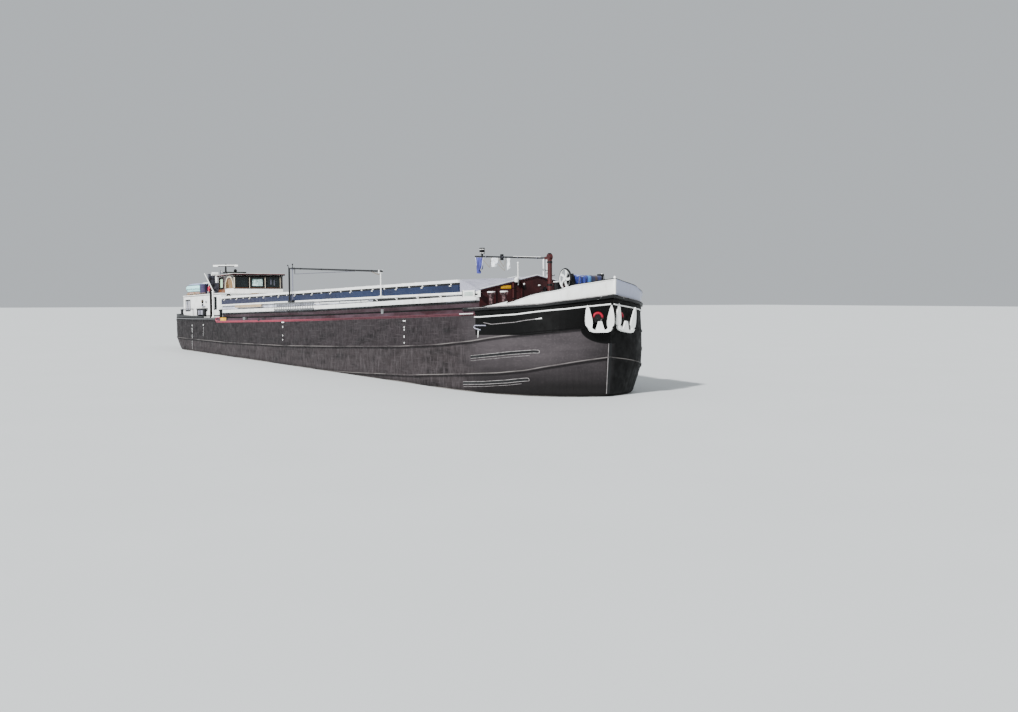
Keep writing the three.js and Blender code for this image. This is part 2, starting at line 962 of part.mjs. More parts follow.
// Panes stand just inside the wall openings
const PANE = 6;
const paneIn = WHEEL_WALL + GAP;
addNode(
  "glass_front",
  box(
    [WHEEL_FORE - paneIn - PANE, -1190, SILL - 20],
    [WHEEL_FORE - paneIn, 1190, HEAD + 20],
  ),
  "glass",
);
addNode(
  "glass_aft",
  box(
    [WHEEL_AFT + paneIn, -1060, SILL - 20],
    [WHEEL_AFT + paneIn + PANE, 1060, HEAD + 20],
  ),
  "glass",
);
const sidePane = box(
  [SIDE_WINDOW.from - 20, -WHEEL_HALF + paneIn, SILL - 20],
  [SIDE_WINDOW.to + 20, -WHEEL_HALF + paneIn + PANE, HEAD + 20],
);
addNode("glass_starboard", sidePane, "glass");
addNode("glass_port", mirrored(sidePane), "glass");
const wheelDoor = cut(
  box(
    [WHEEL_DOOR.from + 6, -WHEEL_HALF + 4, WHEEL_DOOR.low + 6],
    [WHEEL_DOOR.to - GAP, -WHEEL_HALF + 34, WHEEL_DOOR.high - 6],
  ),
  box(
    [WHEEL_DOOR.from + 130, -WHEEL_HALF - 50, 4050],
    [WHEEL_DOOR.to - 130, -WHEEL_HALF + 14, 4370],
  ),
);
addNode("wheelhouse_door_starboard", wheelDoor, "varnish");
addNode("wheelhouse_door_port", mirrored(wheelDoor), "varnish");

const floorTop = FLOOR_LOW + 30 + GAP;
addNode(
  "helm_console",
  join(
    box([-11420, -650, floorTop], [-11120, 650, 3620]),
    box([-11480, -700, 3600], [-11080, 700, 3720]),
  ),
  "varnish",
);
const WHEEL_HUB = [-11560, 0, 3480];
const helmSpokes = [0, 1, 2, 3, 4, 5].map((i) => {
  const angle = (Math.PI * i) / 3;
  return rod(
    [WHEEL_HUB[0], 0, WHEEL_HUB[2]],
    [WHEEL_HUB[0], 330 * Math.cos(angle), WHEEL_HUB[2] + 330 * Math.sin(angle)],
    14,
    8,
  );
});
addNode(
  "steering_wheel",
  join(
    ring(WHEEL_HUB, "x", 330, 20, 28, 8),
    bar([-11505, 0, WHEEL_HUB[2]], "x", 169, 45, 16),
    ...helmSpokes,
  ),
  "wood",
);

// Machinery
addNode("engine", box([-12900, -420, 330 + GAP], [-11250, 420, 1450]), "engine");

const PROP_X = -18220;
const blades = [0, 1, 2, 3].map((i) => {
  const blade = box([-14, -95, 60], [14, 95, 470]).rotate([0, 0, 28]);
  return blade.rotate([90 * i, 0, 0]).translate([PROP_X, 0, SHAFT_HEIGHT]);
});
addNode(
  "propeller",
  join(
    bar([-17340, 0, SHAFT_HEIGHT], "x", 1920, SHAFT_RADIUS, 20),
    bar([PROP_X, 0, SHAFT_HEIGHT], "x", 200, 95, 20),
    ...blades,
  ),
  "bronze",
);
const TILLER_Z = 2690;
addNode(
  "rudder",
  join(
    box([-19190, -22, 130], [-18520, 22, 1060]),
    bar([RUDDER_STOCK_X, 0, 1950], "z", 1860, SHAFT_RADIUS, 20),
    box([RUDDER_STOCK_X - 70, -45, TILLER_Z], [RUDDER_STOCK_X + 280, 45, TILLER_Z + 60]),
  ),
  "darkPaint",
);

// Foredeck
const MAST_X = 15990;
const MAST_TOP = 4120;
const PIVOT = [15840, 0, 4115];
addNode(
  "fore_mast",
  cut(
    join(
      bar([MAST_X, 0, (2500 + MAST_TOP) / 2], "z", MAST_TOP - 2500, 72, 20),
      bar([MAST_X, 0, MAST_TOP + 20], "y", 110, 95, 20),
      box([PIVOT[0] - 40, -58, PIVOT[2] - 40], [MAST_X, -42, PIVOT[2] + 40]),
      box([PIVOT[0] - 40, 42, PIVOT[2] - 40], [MAST_X, 58, PIVOT[2] + 40]),
      box([MAST_X - 170, -170, 2500], [MAST_X + 170, 170, deckTop(MAST_X + 170) + 30]),
    ),
    overDeck,
  ),
  "mastBrown",
);
const SIGNAL_END = [11450, 0, 4390];
addNode(
  "signal_mast",
  join(
    rod(PIVOT, SIGNAL_END, 25, 12),
    bar(PIVOT, "y", 83, 38, 16),
    box([11900, -20, 4340], [11950, 20, 4460]),
    box([11860, -65, 4440], [11990, 65, 4640]),
    box([13150, -35, 4180], [13250, 35, 4370]),
  ),
  "darkPaint",
);

const WINDLASS = { x: 17845, half: 520, low: 2700, high: 3540 };
const FLYWHEEL = [17845, -670, 3430];
const cheek = alongY(
  [
    [WINDLASS.x - 330, WINDLASS.low],
    [WINDLASS.x + 330, WINDLASS.low],
    [WINDLASS.x + 150, WINDLASS.high + 40],
    [WINDLASS.x - 150, WINDLASS.high + 40],
  ],
  -WINDLASS.half,
  -WINDLASS.half + 25,
);
const windlassDrums = [
  [FLYWHEEL[1] + 45 + GAP, 580, FLYWHEEL[2], 60],
  [-WINDLASS.half + 5, WINDLASS.half - 5, 3170, 150],
].map(([from, to, z, radius]) =>
  bar([WINDLASS.x, (from + to) / 2, z], "y", to - from, radius, 20),
);
addNode(
  "windlass",
  cut(join(cheek, mirrored(cheek), ...windlassDrums), overDeck),
  "darkPaint",
);
const flywheelSpokes = [0, 1, 2, 3, 4].map((i) => {
  const shape = new THREE.Shape();
  shape.moveTo(40, -22);
  shape.quadraticCurveTo(168, -78, 264, 11);
  shape.lineTo(251, 66);
  shape.quadraticCurveTo(158, -17, 40, 24);
  shape.closePath();
  const geometry = new THREE.ExtrudeGeometry(shape, {
    depth: 30,
    bevelEnabled: false,
    curveSegments: 5,
  });
  geometry.translate(0, 0, -15);
  geometry.rotateZ((i * 2 * Math.PI) / 5);
  geometry.rotateX(Math.PI / 2);
  geometry.translate(...FLYWHEEL);
  return solidOf(geometry);
});
addNode(
  "flywheel",
  join(
    ring(FLYWHEEL, "y", 275, 30, 32, 8),
    bar(FLYWHEEL, "y", 90, 55, 20),
    ...flywheelSpokes,
  ),
  "white",
);

// Bollards: a plate with two T-headed posts, each given as place along and across
function bollards(first, second) {
  const span = Math.hypot(second[0] - first[0], second[1] - first[1]);
  const along = [(second[0] - first[0]) / span, (second[1] - first[1]) / span];
  const corner = ([x, y], forward, sideways) => [
    x + along[0] * forward - along[1] * sideways,
    y + along[1] * forward + along[0] * sideways,
  ];
  const deck = deckTop(second[0] + 150);
  const solid = join(
    upwards(
      [
        corner(first, -150, -115),
        corner(second, 150, -115),
        corner(second, 150, 115),
        corner(first, -150, 115),
      ],
      2400,
      deck + 25,
    ),
    ...[first, second].flatMap(([x, y]) => [
      bar([x, y, (2450 + deck + 380) / 2], "z", deck + 380 - 2450, 62, 16),
      bar([x, y, deck + 350], "x", 280, 46, 14),
      bar([x, y, deck + 395], "z", 26, 92, 18),
    ]),
  );
  return cut(solid, overDeck);
}
const foreBollards = bollards([16100, -2030], [16600, -1900]);
addNode("bollards_fore_starboard", foreBollards, "darkPaint");
addNode("bollards_fore_port", mirrored(foreBollards), "darkPaint");
const sternBollards = bollards([-18400, -1620], [-18110, -1920]);
addNode("bollards_stern_starboard", sternBollards, "darkPaint");
addNode("bollards_stern_port", mirrored(sternBollards), "darkPaint");

// Anchors, stowed flukes up against the bow
const ANCHORS = [
  { name: "starboard", x: 19010, y: -360, low: 1960, turn: -14, roll: 0 },
  { name: "port", x: 18931.5, y: 490, low: 1960, turn: 14, roll: -9 },
];
const FLUKE = [
  [-285, 72],
  [-236, 115],
  [-212, 210],
  [-212, 300],
  [-240, 430],
  [-292, 620],
  [-345, 735],
  [-386, 600],
  [-408, 430],
  [-412, 285],
  [-394, 190],
];
const CROWN = [
  [-180, 0],
  [180, 0],
  [285, 35],
  [335, 115],
  [250, 135],
  [205, 85],
  [150, 68],
  [-150, 68],
  [-205, 85],
  [-250, 135],
  [-335, 115],
  [-285, 35],
];
const SHANK = [
  [-125, 50],
  [125, 50],
  [42, 300],
  [-42, 300],
];
function anchorSolid() {
  const fluke = alongX(FLUKE, 30, 75);
  return join(
    fluke,
    mirrored(fluke),
    alongX(CROWN, 20, 125),
    alongX(SHANK, 38, 98),
  );
}
for (const { name, x, y, low, turn, roll } of ANCHORS) {
  addNode(
    `anchor_${name}`,
    anchorSolid()
      .rotate([roll, 0, 0])
      .rotate([0, 0, turn])
      .translate([x, y, low]),
    "white",
  );
}

// Lowered mast on the starboard coaming
const SPAR_Y = -2112;
const SPAR_PIVOT = [40, SPAR_Y, 4450];
const SPAR_END = [8780, SPAR_Y, 3990];
const SPAR_RADIUS = 32;
const THICK_POST_X = -445;
const THIN_POST_X = -40;
const ARM_END = [-600, SPAR_Y, 4600];
addNode(
  "mast_frame",
  join(
    box([-540, -2165, 3098], [30, -2055 - GAP, 3165]),
    bar([THICK_POST_X, SPAR_Y, 3820], "z", 1360, 37, 14),
    bar([THIN_POST_X, SPAR_Y, 3880], "z", 1480, 15, 10),
    box([THICK_POST_X, SPAR_Y - 25, 4440], [THIN_POST_X, SPAR_Y + 25, 4485]),
    rod([THICK_POST_X, SPAR_Y, 4470], ARM_END, 13, 8),
    ball(ARM_END, 30),
    ball([THIN_POST_X, SPAR_Y, 4622], 30),
    box([-60, SPAR_Y - 52, 4410], [80, SPAR_Y - 40, 4490]),
    box([-60, SPAR_Y + 40, 4410], [80, SPAR_Y + 52, 4490]),
    box([-72, SPAR_Y - 52, 4420], [-42, SPAR_Y + 52, 4480]),
  ),
  "darkPaint",
);
addNode(
  "lowered_mast",
  join(rod(SPAR_PIVOT, SPAR_END, SPAR_RADIUS, 14), bar(SPAR_PIVOT, "y", 79, 36, 16)),
  "darkPaint",
);
const REST_X = 8650;
const REST_HALF = 25;
// The rest's top plate lies just under the lowest point of the spar that crosses it
const sparSlope = (SPAR_END[2] - SPAR_PIVOT[2]) / (SPAR_END[0] - SPAR_PIVOT[0]);
const sparUnder =
  SPAR_PIVOT[2] +
  sparSlope * (REST_X + REST_HALF - SPAR_PIVOT[0]) -
  SPAR_RADIUS * Math.hypot(1, sparSlope);
const restTop = sparUnder - GAP;
addNode(
  "mast_rest",
  join(
    box([REST_X - 70, -2165, 3098], [REST_X + 70, -2055 - GAP, 3165]),
    bar([REST_X, SPAR_Y, 3550], "z", 790, 20, 12),
    box([REST_X - 25, SPAR_Y - 75, restTop - 30], [REST_X + 25, SPAR_Y + 75, restTop]),
    box([REST_X - 25, SPAR_Y - 75, restTop - 30], [REST_X + 25, SPAR_Y - 55, restTop + 80]),
    box([REST_X - 25, SPAR_Y + 55, restTop - 30], [REST_X + 25, SPAR_Y + 75, restTop + 80]),
  ),
  "white",
);

// On the roofs
const roofTop = HOUSE_ROOF + GAP;
const TENDER = { x: -16430, y: -1440, length: 2600, half: 500, high: 400 };
function boatShape(grow, low, high, crown) {
  const rows = [
    [low, 0.72],
    [low + (high - low) * 0.5, 0.93],
    [high, 1],
  ];
  if (crown) rows.push([high + crown * 0.7, 0.72], [high + crown, 0.4]);
  const steps = 28;
  const points = rows.flatMap(([z, scale]) =>
    Array.from({ length: steps }, (_, i) => {
      const angle = (2 * Math.PI * i) / steps;
      const [c, s] = [Math.cos(angle), Math.sin(angle)];
      return [
        TENDER.x + (TENDER.length / 2 + grow) * scale * Math.sign(c) * Math.abs(c) ** 0.8,
        TENDER.y + (TENDER.half + grow) * scale * Math.sign(s) * Math.abs(s) ** 0.8,
        z,
      ];
    }),
  );
  const triangles = [];
  for (let row = 0; row + 1 < rows.length; row++) {
    for (let i = 0; i < steps; i++) {
      const a = row * steps + i;
      const b = row * steps + ((i + 1) % steps);
      triangles.push([a, b, b + steps], [a, b + steps, a + steps]);
    }
  }
  const top = (rows.length - 1) * steps;
  for (let i = 1; i + 1 < steps; i++) {
    triangles.push([0, i + 1, i], [top, top + i, top + i + 1]);
  }
  return fromTriangles(points, triangles);
}
addNode("tender", boatShape(0, roofTop, roofTop + TENDER.high, 0), "white");
addNode(
  "tender_cover",
  boatShape(10, roofTop + TENDER.high + GAP, roofTop + TENDER.high + 90, 180),
  "cover",
);

// A vent stack on the after roof, with a cowl on its locker
const LOCKER_TOP = 4330;
addNode(
  "vent_stack",
  join(
    box([-14900, -1430, roofTop], [-14250, -960, LOCKER_TOP]),
    box([-14860, -1410, LOCKER_TOP - 20], [-14560, -1110, 4800]),
  ),
  "darkPaint",
);
const COWL = { x: -14400, y: -1070, high: 4790 };
const cowlHead = cut(
  bar([COWL.x, COWL.y - 95, COWL.high], "y", 330, 90, 20),
  bar([COWL.x, COWL.y - 180, COWL.high], "y", 180, 80, 20),
);
const cowlFoot = LOCKER_TOP + GAP;
const cowlStem = bar(
  [COWL.x, COWL.y, (cowlFoot + COWL.high) / 2],
  "z",
  COWL.high - cowlFoot,
  52,
  18,
  84,
);
addNode("vent_cowl", join(cowlStem, cowlHead), "white");

const RADAR = { x: -12800, y: -1060 };
const PLATFORM_Z = 4770;
const platformLegs = [
  [-13150, -1050],
  [-12600, -1050],
  [-13150, -200],
  [-12600, -200],
].map(([x, y]) => bar([x, y, PLATFORM_Z - 60], "z", 140, 18, 10));
addNode(
  "radar_platform",
  cut(
    join(
      box([-13250, -1150, PLATFORM_Z], [-12500, -100, PLATFORM_Z + 30]),
      ...platformLegs,
      bar([RADAR.x, RADAR.y, 4922], "z", 285, 45, 14),
    ),
    wheelhouseRoof.translate([0, 0, GAP]),
  ),
  "darkPaint",
);
addNode(
  "radar_scanner",
  join(
    bar([RADAR.x, RADAR.y, 5085], "z", 40, 40, 14),
    box([-60, -620, 5100], [60, 620, 5185])
      .rotate([0, 0, -30])
      .translate([RADAR.x, RADAR.y, 0]),
  ),
  "white",
);

export default group;
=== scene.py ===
"""River barge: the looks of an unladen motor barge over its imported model, in metres."""

import logging
import math
from collections.abc import Sequence
from dataclasses import dataclass, replace
from enum import Enum
from functools import cache

import bmesh
import bpy
from mathutils import Matrix, Vector
from mathutils.bvhtree import BVHTree


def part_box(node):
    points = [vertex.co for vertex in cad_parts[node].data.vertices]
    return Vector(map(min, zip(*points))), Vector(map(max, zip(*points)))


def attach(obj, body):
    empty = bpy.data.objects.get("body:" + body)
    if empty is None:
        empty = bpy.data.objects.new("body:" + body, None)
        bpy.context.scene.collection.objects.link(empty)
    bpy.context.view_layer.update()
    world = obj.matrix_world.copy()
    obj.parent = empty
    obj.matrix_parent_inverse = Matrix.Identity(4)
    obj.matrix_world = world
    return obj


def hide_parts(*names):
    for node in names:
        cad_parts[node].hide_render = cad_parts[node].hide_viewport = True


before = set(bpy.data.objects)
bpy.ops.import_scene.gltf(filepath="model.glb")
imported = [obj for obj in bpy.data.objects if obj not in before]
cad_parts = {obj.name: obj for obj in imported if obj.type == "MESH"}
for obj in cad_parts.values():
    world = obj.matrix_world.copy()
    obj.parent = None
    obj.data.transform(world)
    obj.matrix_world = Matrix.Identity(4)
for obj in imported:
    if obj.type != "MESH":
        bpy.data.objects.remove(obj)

log = logging.getLogger("barge")
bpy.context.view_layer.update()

Point = Sequence[float]
Outline = Sequence[tuple[float, float]]
Table = tuple[tuple[float, float], ...]
Socket = bpy.types.NodeSocket
Material = bpy.types.Material
Object = bpy.types.Object

BOW = 19.25
STERN = -19.25
WATER_AFT = 0.97  # height of the water over the flat bottom at the stern
WATER_SLOPE = -0.02  # the unladen barge sits deeper aft
BAND_AFT = -9.62  # where the coloured sheer band ends
BLACK_AFT = 15.86  # where the black field of the bow begins
ANCHOR_FIELD = (0.8, 0.42)  # half width and depth of the black field under the anchors
ANCHOR_HEIGHT = 2.07  # where that field is widest
BOW_CENTRE = Vector((14.5, 0.0, 0.0))  # bearings round the bow are taken from here
SHARP_ANGLE = math.radians(32)  # edges sharper than this aren't shaded smooth

# Heights over the flat bottom along the ship, as place and height
DECK: Table = (
    (-19.25, 2.64), (-17.0, 2.595), (-14.0, 2.555), (-9.0, 2.532), (-2.0, 2.545), (4.0, 2.575),
    (9.0, 2.62), (13.0, 2.655), (16.0, 2.69), (17.5, 2.728), (18.2, 2.76), (18.7, 2.855), (19.25, 3.01),
)
UPPER_STRAKE: Table = (
    (-19.25, 1.56), (-14.0, 1.47), (-8.0, 1.37), (0.0, 1.345), (5.0, 1.4), (11.0, 1.5), (13.8, 1.603),
    (15.7, 1.726), (16.8, 1.849), (17.85, 1.943), (18.5, 2.009), (18.8, 2.074), (19.05, 2.13),
)
LOWER_STRAKE: Table = (
    (-19.25, 0.7), (-14.0, 0.6), (-8.6, 0.53), (0.0, 0.47), (7.0, 0.52), (11.7, 0.61), (13.8, 0.706),
    (16.8, 0.849), (17.8, 0.946), (18.55, 1.115), (19.05, 1.305),
)
BLACK_FOOT: Table = ((STERN, 1.905), (17.9, 1.905), (18.5, 1.99), (19.05, 2.11))


def read_table(table: Table, x: float) -> float:
    """Read a value from a table by straight lines between its rows.

    Args:
        table: Rows of place and value, in rising order.
        x: The place along the ship.

    Returns:
        The value there.
    """
    if x <= table[0][0]:
        return table[0][1]
    for (x0, v0), (x1, v1) in zip(table, table[1:]):
        if x <= x1:
            return v0 + (v1 - v0) * (x - x0) / (x1 - x0)
    return table[-1][1]


def refined(table: Table) -> Table:
    """The same line with 25 rows at even steps."""
    first, last = table[0][0], table[-1][0]
    return tuple((x, read_table(table, x)) for x in (first + (last - first) * i / 24 for i in range(25)))


def circle(steps: int) -> list[tuple[float, float]]:
    """Cosine and sine at even steps all the way round."""
    turns = [2 * math.pi * i / steps for i in range(steps)]
    return [(math.cos(a), math.sin(a)) for a in turns]


def arc(
    centre: tuple[float, float], wide: float, tall: float, start: float, end: float, steps: int
) -> list[tuple[float, float]]:
    """Points on an arc.

    Args:
        centre: The arc's middle.
        wide: Its radius across.
        tall: Its radius upwards.
        start: Where it starts, in degrees.
        end: Where it ends, in degrees.
        steps: How many steps it takes.

    Returns:
        The points in order.
    """
    turns = [math.radians(start + (end - start) * i / steps) for i in range(steps + 1)]
    return [(centre[0] + wide * math.cos(a), centre[1] + tall * math.sin(a)) for a in turns]


def deck_height(x: float) -> float:
    """Height of the deck at a place along the ship."""
    return read_table(DECK, x)


def water_height(x: float) -> float:
    """Height of the water over the flat bottom at a place along the ship."""
    return WATER_AFT + WATER_SLOPE * (x - STERN)


# Shader helpers


def linear(hex_colour: str) -> tuple[float, float, float, float]:
    """Turn an sRGB hex colour into a linear one.

    Args:
        hex_colour: Six hex digits.

    Returns:
        Red, green, blue and alpha.
    """
    channels = [int(hex_colour[i : i + 2], 16) / 255 for i in (0, 2, 4)]
    made = [c / 12.92 if c <= 0.04045 else ((c + 0.055) / 1.055) ** 2.4 for c in channels]
    return (made[0], made[1], made[2], 1.0)


def add_node(
    tree: bpy.types.NodeTree, kind: str, inputs: dict | None = None, **settings: object
) -> bpy.types.Node:
    """Add one node to a tree.

    Args:
        tree: The shader or geometry tree.
        kind: The node's type.
        inputs: Sockets by name or number, each with a value or a socket to join.
        settings: The node's own settings.

    Returns:
        The node.
    """
    node = tree.nodes.new(kind)
    for key, value in settings.items():
        setattr(node, key, value)
    for socket, value in (inputs or {}).items():
        if isinstance(value, Socket):
            tree.links.new(value, node.inputs[socket])
        else:
            node.inputs[socket].default_value = value
    return node


class Coat:
    """A material's shader tree while it is being made."""

    def __init__(self, name: str) -> None:
        """Start an empty material with a principled shader.

        Args:
            name: The material's name.
        """
        self.material = bpy.data.materials.new(name)
        self.material.use_nodes = True
        self.tree = self.material.node_tree
        self.tree.nodes.clear()
        self.shader = self.add("ShaderNodeBsdfPrincipled")
        self.add("ShaderNodeOutputMaterial", {"Surface": self.shader.outputs[0]})
        self.place = self.add("ShaderNodeTexCoord").outputs["Object"]
        split = self.add("ShaderNodeSeparateXYZ", {0: self.place})
        self.x, self.y, self.z = split.outputs

    def add(self, kind: str, inputs: dict | None = None, **settings: object) -> bpy.types.Node:
        """Add a node to this material."""
        return add_node(self.tree, kind, inputs, **settings)

    def math(self, operation: str, first: object, second: object = 0.0) -> Socket:
        """The result of one arithmetic step on numbers or sockets."""
        return self.add("ShaderNodeMath", {0: first, 1: second}, operation=operation).outputs[0]

    def spread(
        self, value: object, low: float, high: float, to_low: float = 0.0, to_high: float = 1.0
    ) -> Socket:
        """A value mapped from one range to another, clamped."""
        inputs = {"Value": value, "From Min": low, "From Max": high, "To Min": to_low, "To Max": to_high}
        return self.add("ShaderNodeMapRange", inputs).outputs[0]

    def above(self, value: object, edge: float, soft: float = 0.003) -> Socket:
        """1 where a value is over an edge, 0 where it is under it."""
        return self.spread(value, edge - soft, edge + soft)

    def between(self, value: object, low: float, high: float, soft: float = 0.003) -> Socket:
        """1 where a value lies between two edges."""
        under = self.spread(value, high - soft, high + soft, 1.0, 0.0)
        return self.math("MULTIPLY", self.above(value, low, soft), under)

    def fall(self, value: object, low: float, high: float) -> Socket:
        """1 up to a value, falling to 0 at a higher one."""
        return self.spread(value, low, high, 1.0, 0.0)

    def over(self, table: Table) -> Socket:
        """Height over a line that runs along the ship."""
        return self.math("SUBTRACT", self.z, self.along(table))

    def both(self, *masks: object) -> Socket:
        """The product of several masks.

        Args:
            masks: Numbers or sockets.

        Returns:
            The product's socket.
        """
        made = masks[0]
        for mask in masks[1:]:
            made = self.math("MULTIPLY", made, mask)
        return made

    def noise(self, size: float, stretch: Point = (1.0, 1.0, 1.0), detail: float = 3.0) -> Socket:
        """Smooth noise of a real size.

        Args:
            size: The size of a patch, in metres.
            stretch: How much longer a patch is along each axis.
            detail: How many finer layers it has.

        Returns:
            A value round 0.5.
        """
        scale = tuple(1.0 / (size * s) for s in stretch)
        moved = self.add("ShaderNodeMapping", {"Vector": self.place, "Scale": scale}).outputs[0]
        return self.add("ShaderNodeTexNoise", {"Vector": moved, "Scale": 1.0, "Detail": detail}).outputs[0]

    def spots(
        self, size: float, low: float, high: float, share: float = 1.0,
        stretch: Point = (1.0, 1.0, 1.0), detail: float = 3.0,
    ) -> Socket:
        """Spots of noise of a real size, from 0 under the low limit to a share over the high one."""
        return self.spread(self.noise(size, stretch, detail), low, high, 0.0, share)

    def along(self, table: Table) -> Socket:
        """A height read from a table by the place along the ship.

        Args:
            table: Rows of place and height.

        Returns:
            The height's socket, in metres.
        """
        low = min(v for _, v in table) - 0.05
        span = max(v for _, v in table) + 0.05 - low
        node = self.add("ShaderNodeFloatCurve", {"Value": self.spread(self.x, STERN, BOW)})
        curve = node.mapping.curves[0]
        while len(curve.points) < len(table):
            curve.points.new(0.5, 0.5)
        for point, (x, value) in zip(curve.points, table):
            point.location = ((x - STERN) / (BOW - STERN), (value - low) / span)
            point.handle_type = "VECTOR"
        node.mapping.update()
        return self.math("ADD", self.math("MULTIPLY", node.outputs[0], span), low)

    def mix(self, share: object, first: object, second: object) -> Socket:
        """Mix two colours.

        Args:
            share: How much of the second shows, a number or socket.
            first: A hex colour or socket.
            second: A hex colour or socket.

        Returns:
            The mixed colour's socket.
        """
        colours = [linear(c) if isinstance(c, str) else c for c in (first, second)]
        node = self.add("ShaderNodeMix", {0: share, 6: colours[0], 7: colours[1]}, data_type="RGBA")
        return node.outputs[2]

    def facing_up(self) -> Socket:
        """1 on faces that look up, 0 on walls."""
        normal = self.add("ShaderNodeNewGeometry").outputs["Normal"]
        return self.above(self.add("ShaderNodeSeparateXYZ", {0: normal}).outputs[2], 0.6, 0.05)

    def bump(self, height: object, depth: float) -> None:
        """Give the surface a relief from 0 to 1, of a depth in metres."""
        node = self.add("ShaderNodeBump", {"Height": height, "Distance": depth, "Strength": 1.0})
        self.tree.links.new(node.outputs[0], self.shader.inputs["Normal"])

    def finish(
        self, colour: object, roughness: object, metallic: float = 0.0, gloss: float = 0.5
    ) -> Material:
        """Join the main values to the shader.

        Args:
            colour: The base colour's socket.
            roughness: A number or socket.
            metallic: How metallic it is.
            gloss: How much the clear part of the surface reflects.

        Returns:
            The finished material.
        """
        self.shader.inputs["Specular IOR Level"].default_value = gloss
        for name, value in (("Base Color", colour), ("Roughness", roughness), ("Metallic", metallic)):
            if isinstance(value, Socket):
                self.tree.links.new(value, self.shader.inputs[name])
            else:
                self.shader.inputs[name].default_value = value
        return self.material


# Finishes


@dataclass(frozen=True)
class Finish:
    """A named finish; each kind makes its own material once."""

    name: str
    slot: str

    def make(self) -> Material:
        """Make the material."""
        raise NotImplementedError

    def material(self) -> Material:
        """The finish's material, made on first use."""
        return bpy.data.materials.get(self.name) or self.make()


@dataclass(frozen=True)
class Zone:
    """A block of the frame in which a finish has another colour."""

    shade: str
    x: tuple[float, float] | None = None
    y: tuple[float, float] | None = None
    z: tuple[float, float] | None = None
    soft: float = 0.003

    def paint(self, coat: Coat, colour: object) -> Socket:
        """Paint the zone over a colour.

        Args:
            coat: The material being made.
            colour: The colour below it.

        Returns:
            The new colour's socket.
        """
        limits = ((coat.x, self.x), (coat.y, self.y), (coat.z, self.z))
        masks = [coat.between(axis, *limit, self.soft) for axis, limit in limits if limit]
        return coat.mix(coat.both(*masks), colour, self.shade)


@dataclass(frozen=True)
class Paint(Finish):
    """Brushed oil paint on steel, with patches, run-down dirt and a slight brush relief."""

    colour: str = "ffffff"
    patch: str = "dddddd"
    dirt: str = "6b5f52"
    dirt_share: float = 0.25
    roughness: float = 0.45
    metallic: float = 0.0
    patch_size: float = 0.35
    relief: float = 0.0006
    gloss: float = 0.3
    zones: tuple[Zone, ...] = ()

    def make(self) -> Material:
        """Make the paint's material.

        Returns:
            The material.
        """
        coat = Coat(self.name)
        patches = coat.spots(self.patch_size, 0.42, 0.68, detail=4.0)
        runs = coat.spots(0.09, 0.55, 0.78, self.dirt_share, (1.0, 1.0, 9.0))
        specks = coat.spots(0.02, 0.62, 0.75, self.dirt_share, detail=5.0)
        colour = coat.mix(patches, self.colour, self.patch)
        for zone in self.zones:
            colour = zone.paint(coat, colour)
        colour = coat.mix(coat.math("MAXIMUM", runs, specks), colour, self.dirt)
        rough = coat.spread(coat.noise(0.12), 0.3, 0.7, self.roughness - 0.07, self.roughness + 0.1)
        coat.bump(coat.noise(0.03, (1.0, 1.0, 1.6), 4.0), self.relief)
        return coat.finish(colour, rough, self.metallic, self.gloss)


@dataclass(frozen=True)
class Varnish(Finish):
    """Varnished hardwood with long grain along one axis."""

    light: str = "b98350"
    dark: str = "7e4c24"
    grain: tuple[float, float, float] = (14.0, 1.0, 1.0)
    roughness: float = 0.3
    zones: tuple[Zone, ...] = ()

    def make(self) -> Material:
        """Make the wood's material.

        Returns:
            The material.
        """
        coat = Coat(self.name)
        grain = coat.spots(0.012, 0.35, 0.65, stretch=self.grain, detail=5.0)
        boards = coat.spots(0.22, 0.35, 0.65, 0.6, self.grain, 1.0)
        colour = coat.mix(grain, self.light, self.dark)
        colour = coat.mix(boards, colour, self.dark)
        for zone in self.zones:
            colour = zone.paint(coat, colour)
        coat.bump(grain, 0.0003)
        coat.shader.inputs["Coat Weight"].default_value = 0.5
        coat.shader.inputs["Coat Roughness"].default_value = 0.15
        return coat.finish(colour, coat.spread(grain, 0.0, 1.0, self.roughness, self.roughness + 0.15))


@dataclass(frozen=True)
class Metal(Finish):
    """Bare or cast metal with dull spots."""

    colour: str = "9a9c9e"
    dull: str = "5d5a55"
    roughness: float = 0.35

    def make(self) -> Material:
        """Make the metal's material.

        Returns:
            The material.
        """
        coat = Coat(self.name)
        spots = coat.spots(0.05, 0.45, 0.7, 0.8, detail=5.0)
        coat.bump(coat.noise(0.006, detail=3.0), 0.0002)
        rough = coat.spread(spots, 0.0, 1.0, self.roughness, 0.7)
        return coat.finish(coat.mix(spots, self.colour, self.dull), rough, 0.9)


@dataclass(frozen=True)
class Pane(Finish):
    """Window glass that reflects, over a dim inside."""

    tint: str = "c3d0cf"
    through: float = 0.75

    def make(self) -> Material:
        """Make the glass material.

        Returns:
            The material.
        """
        coat = Coat(self.name)
        glass_patch = coat.spots(0.25, 0.3, 0.75)
        coat.shader.inputs["Transmission Weight"].default_value = self.through
        coat.shader.inputs["IOR"].default_value = 1.45
        return coat.finish(coat.mix(glass_patch, self.tint, "465254"), coat.spread(glass_patch, 0.0, 1.0, 0.02, 0.09))


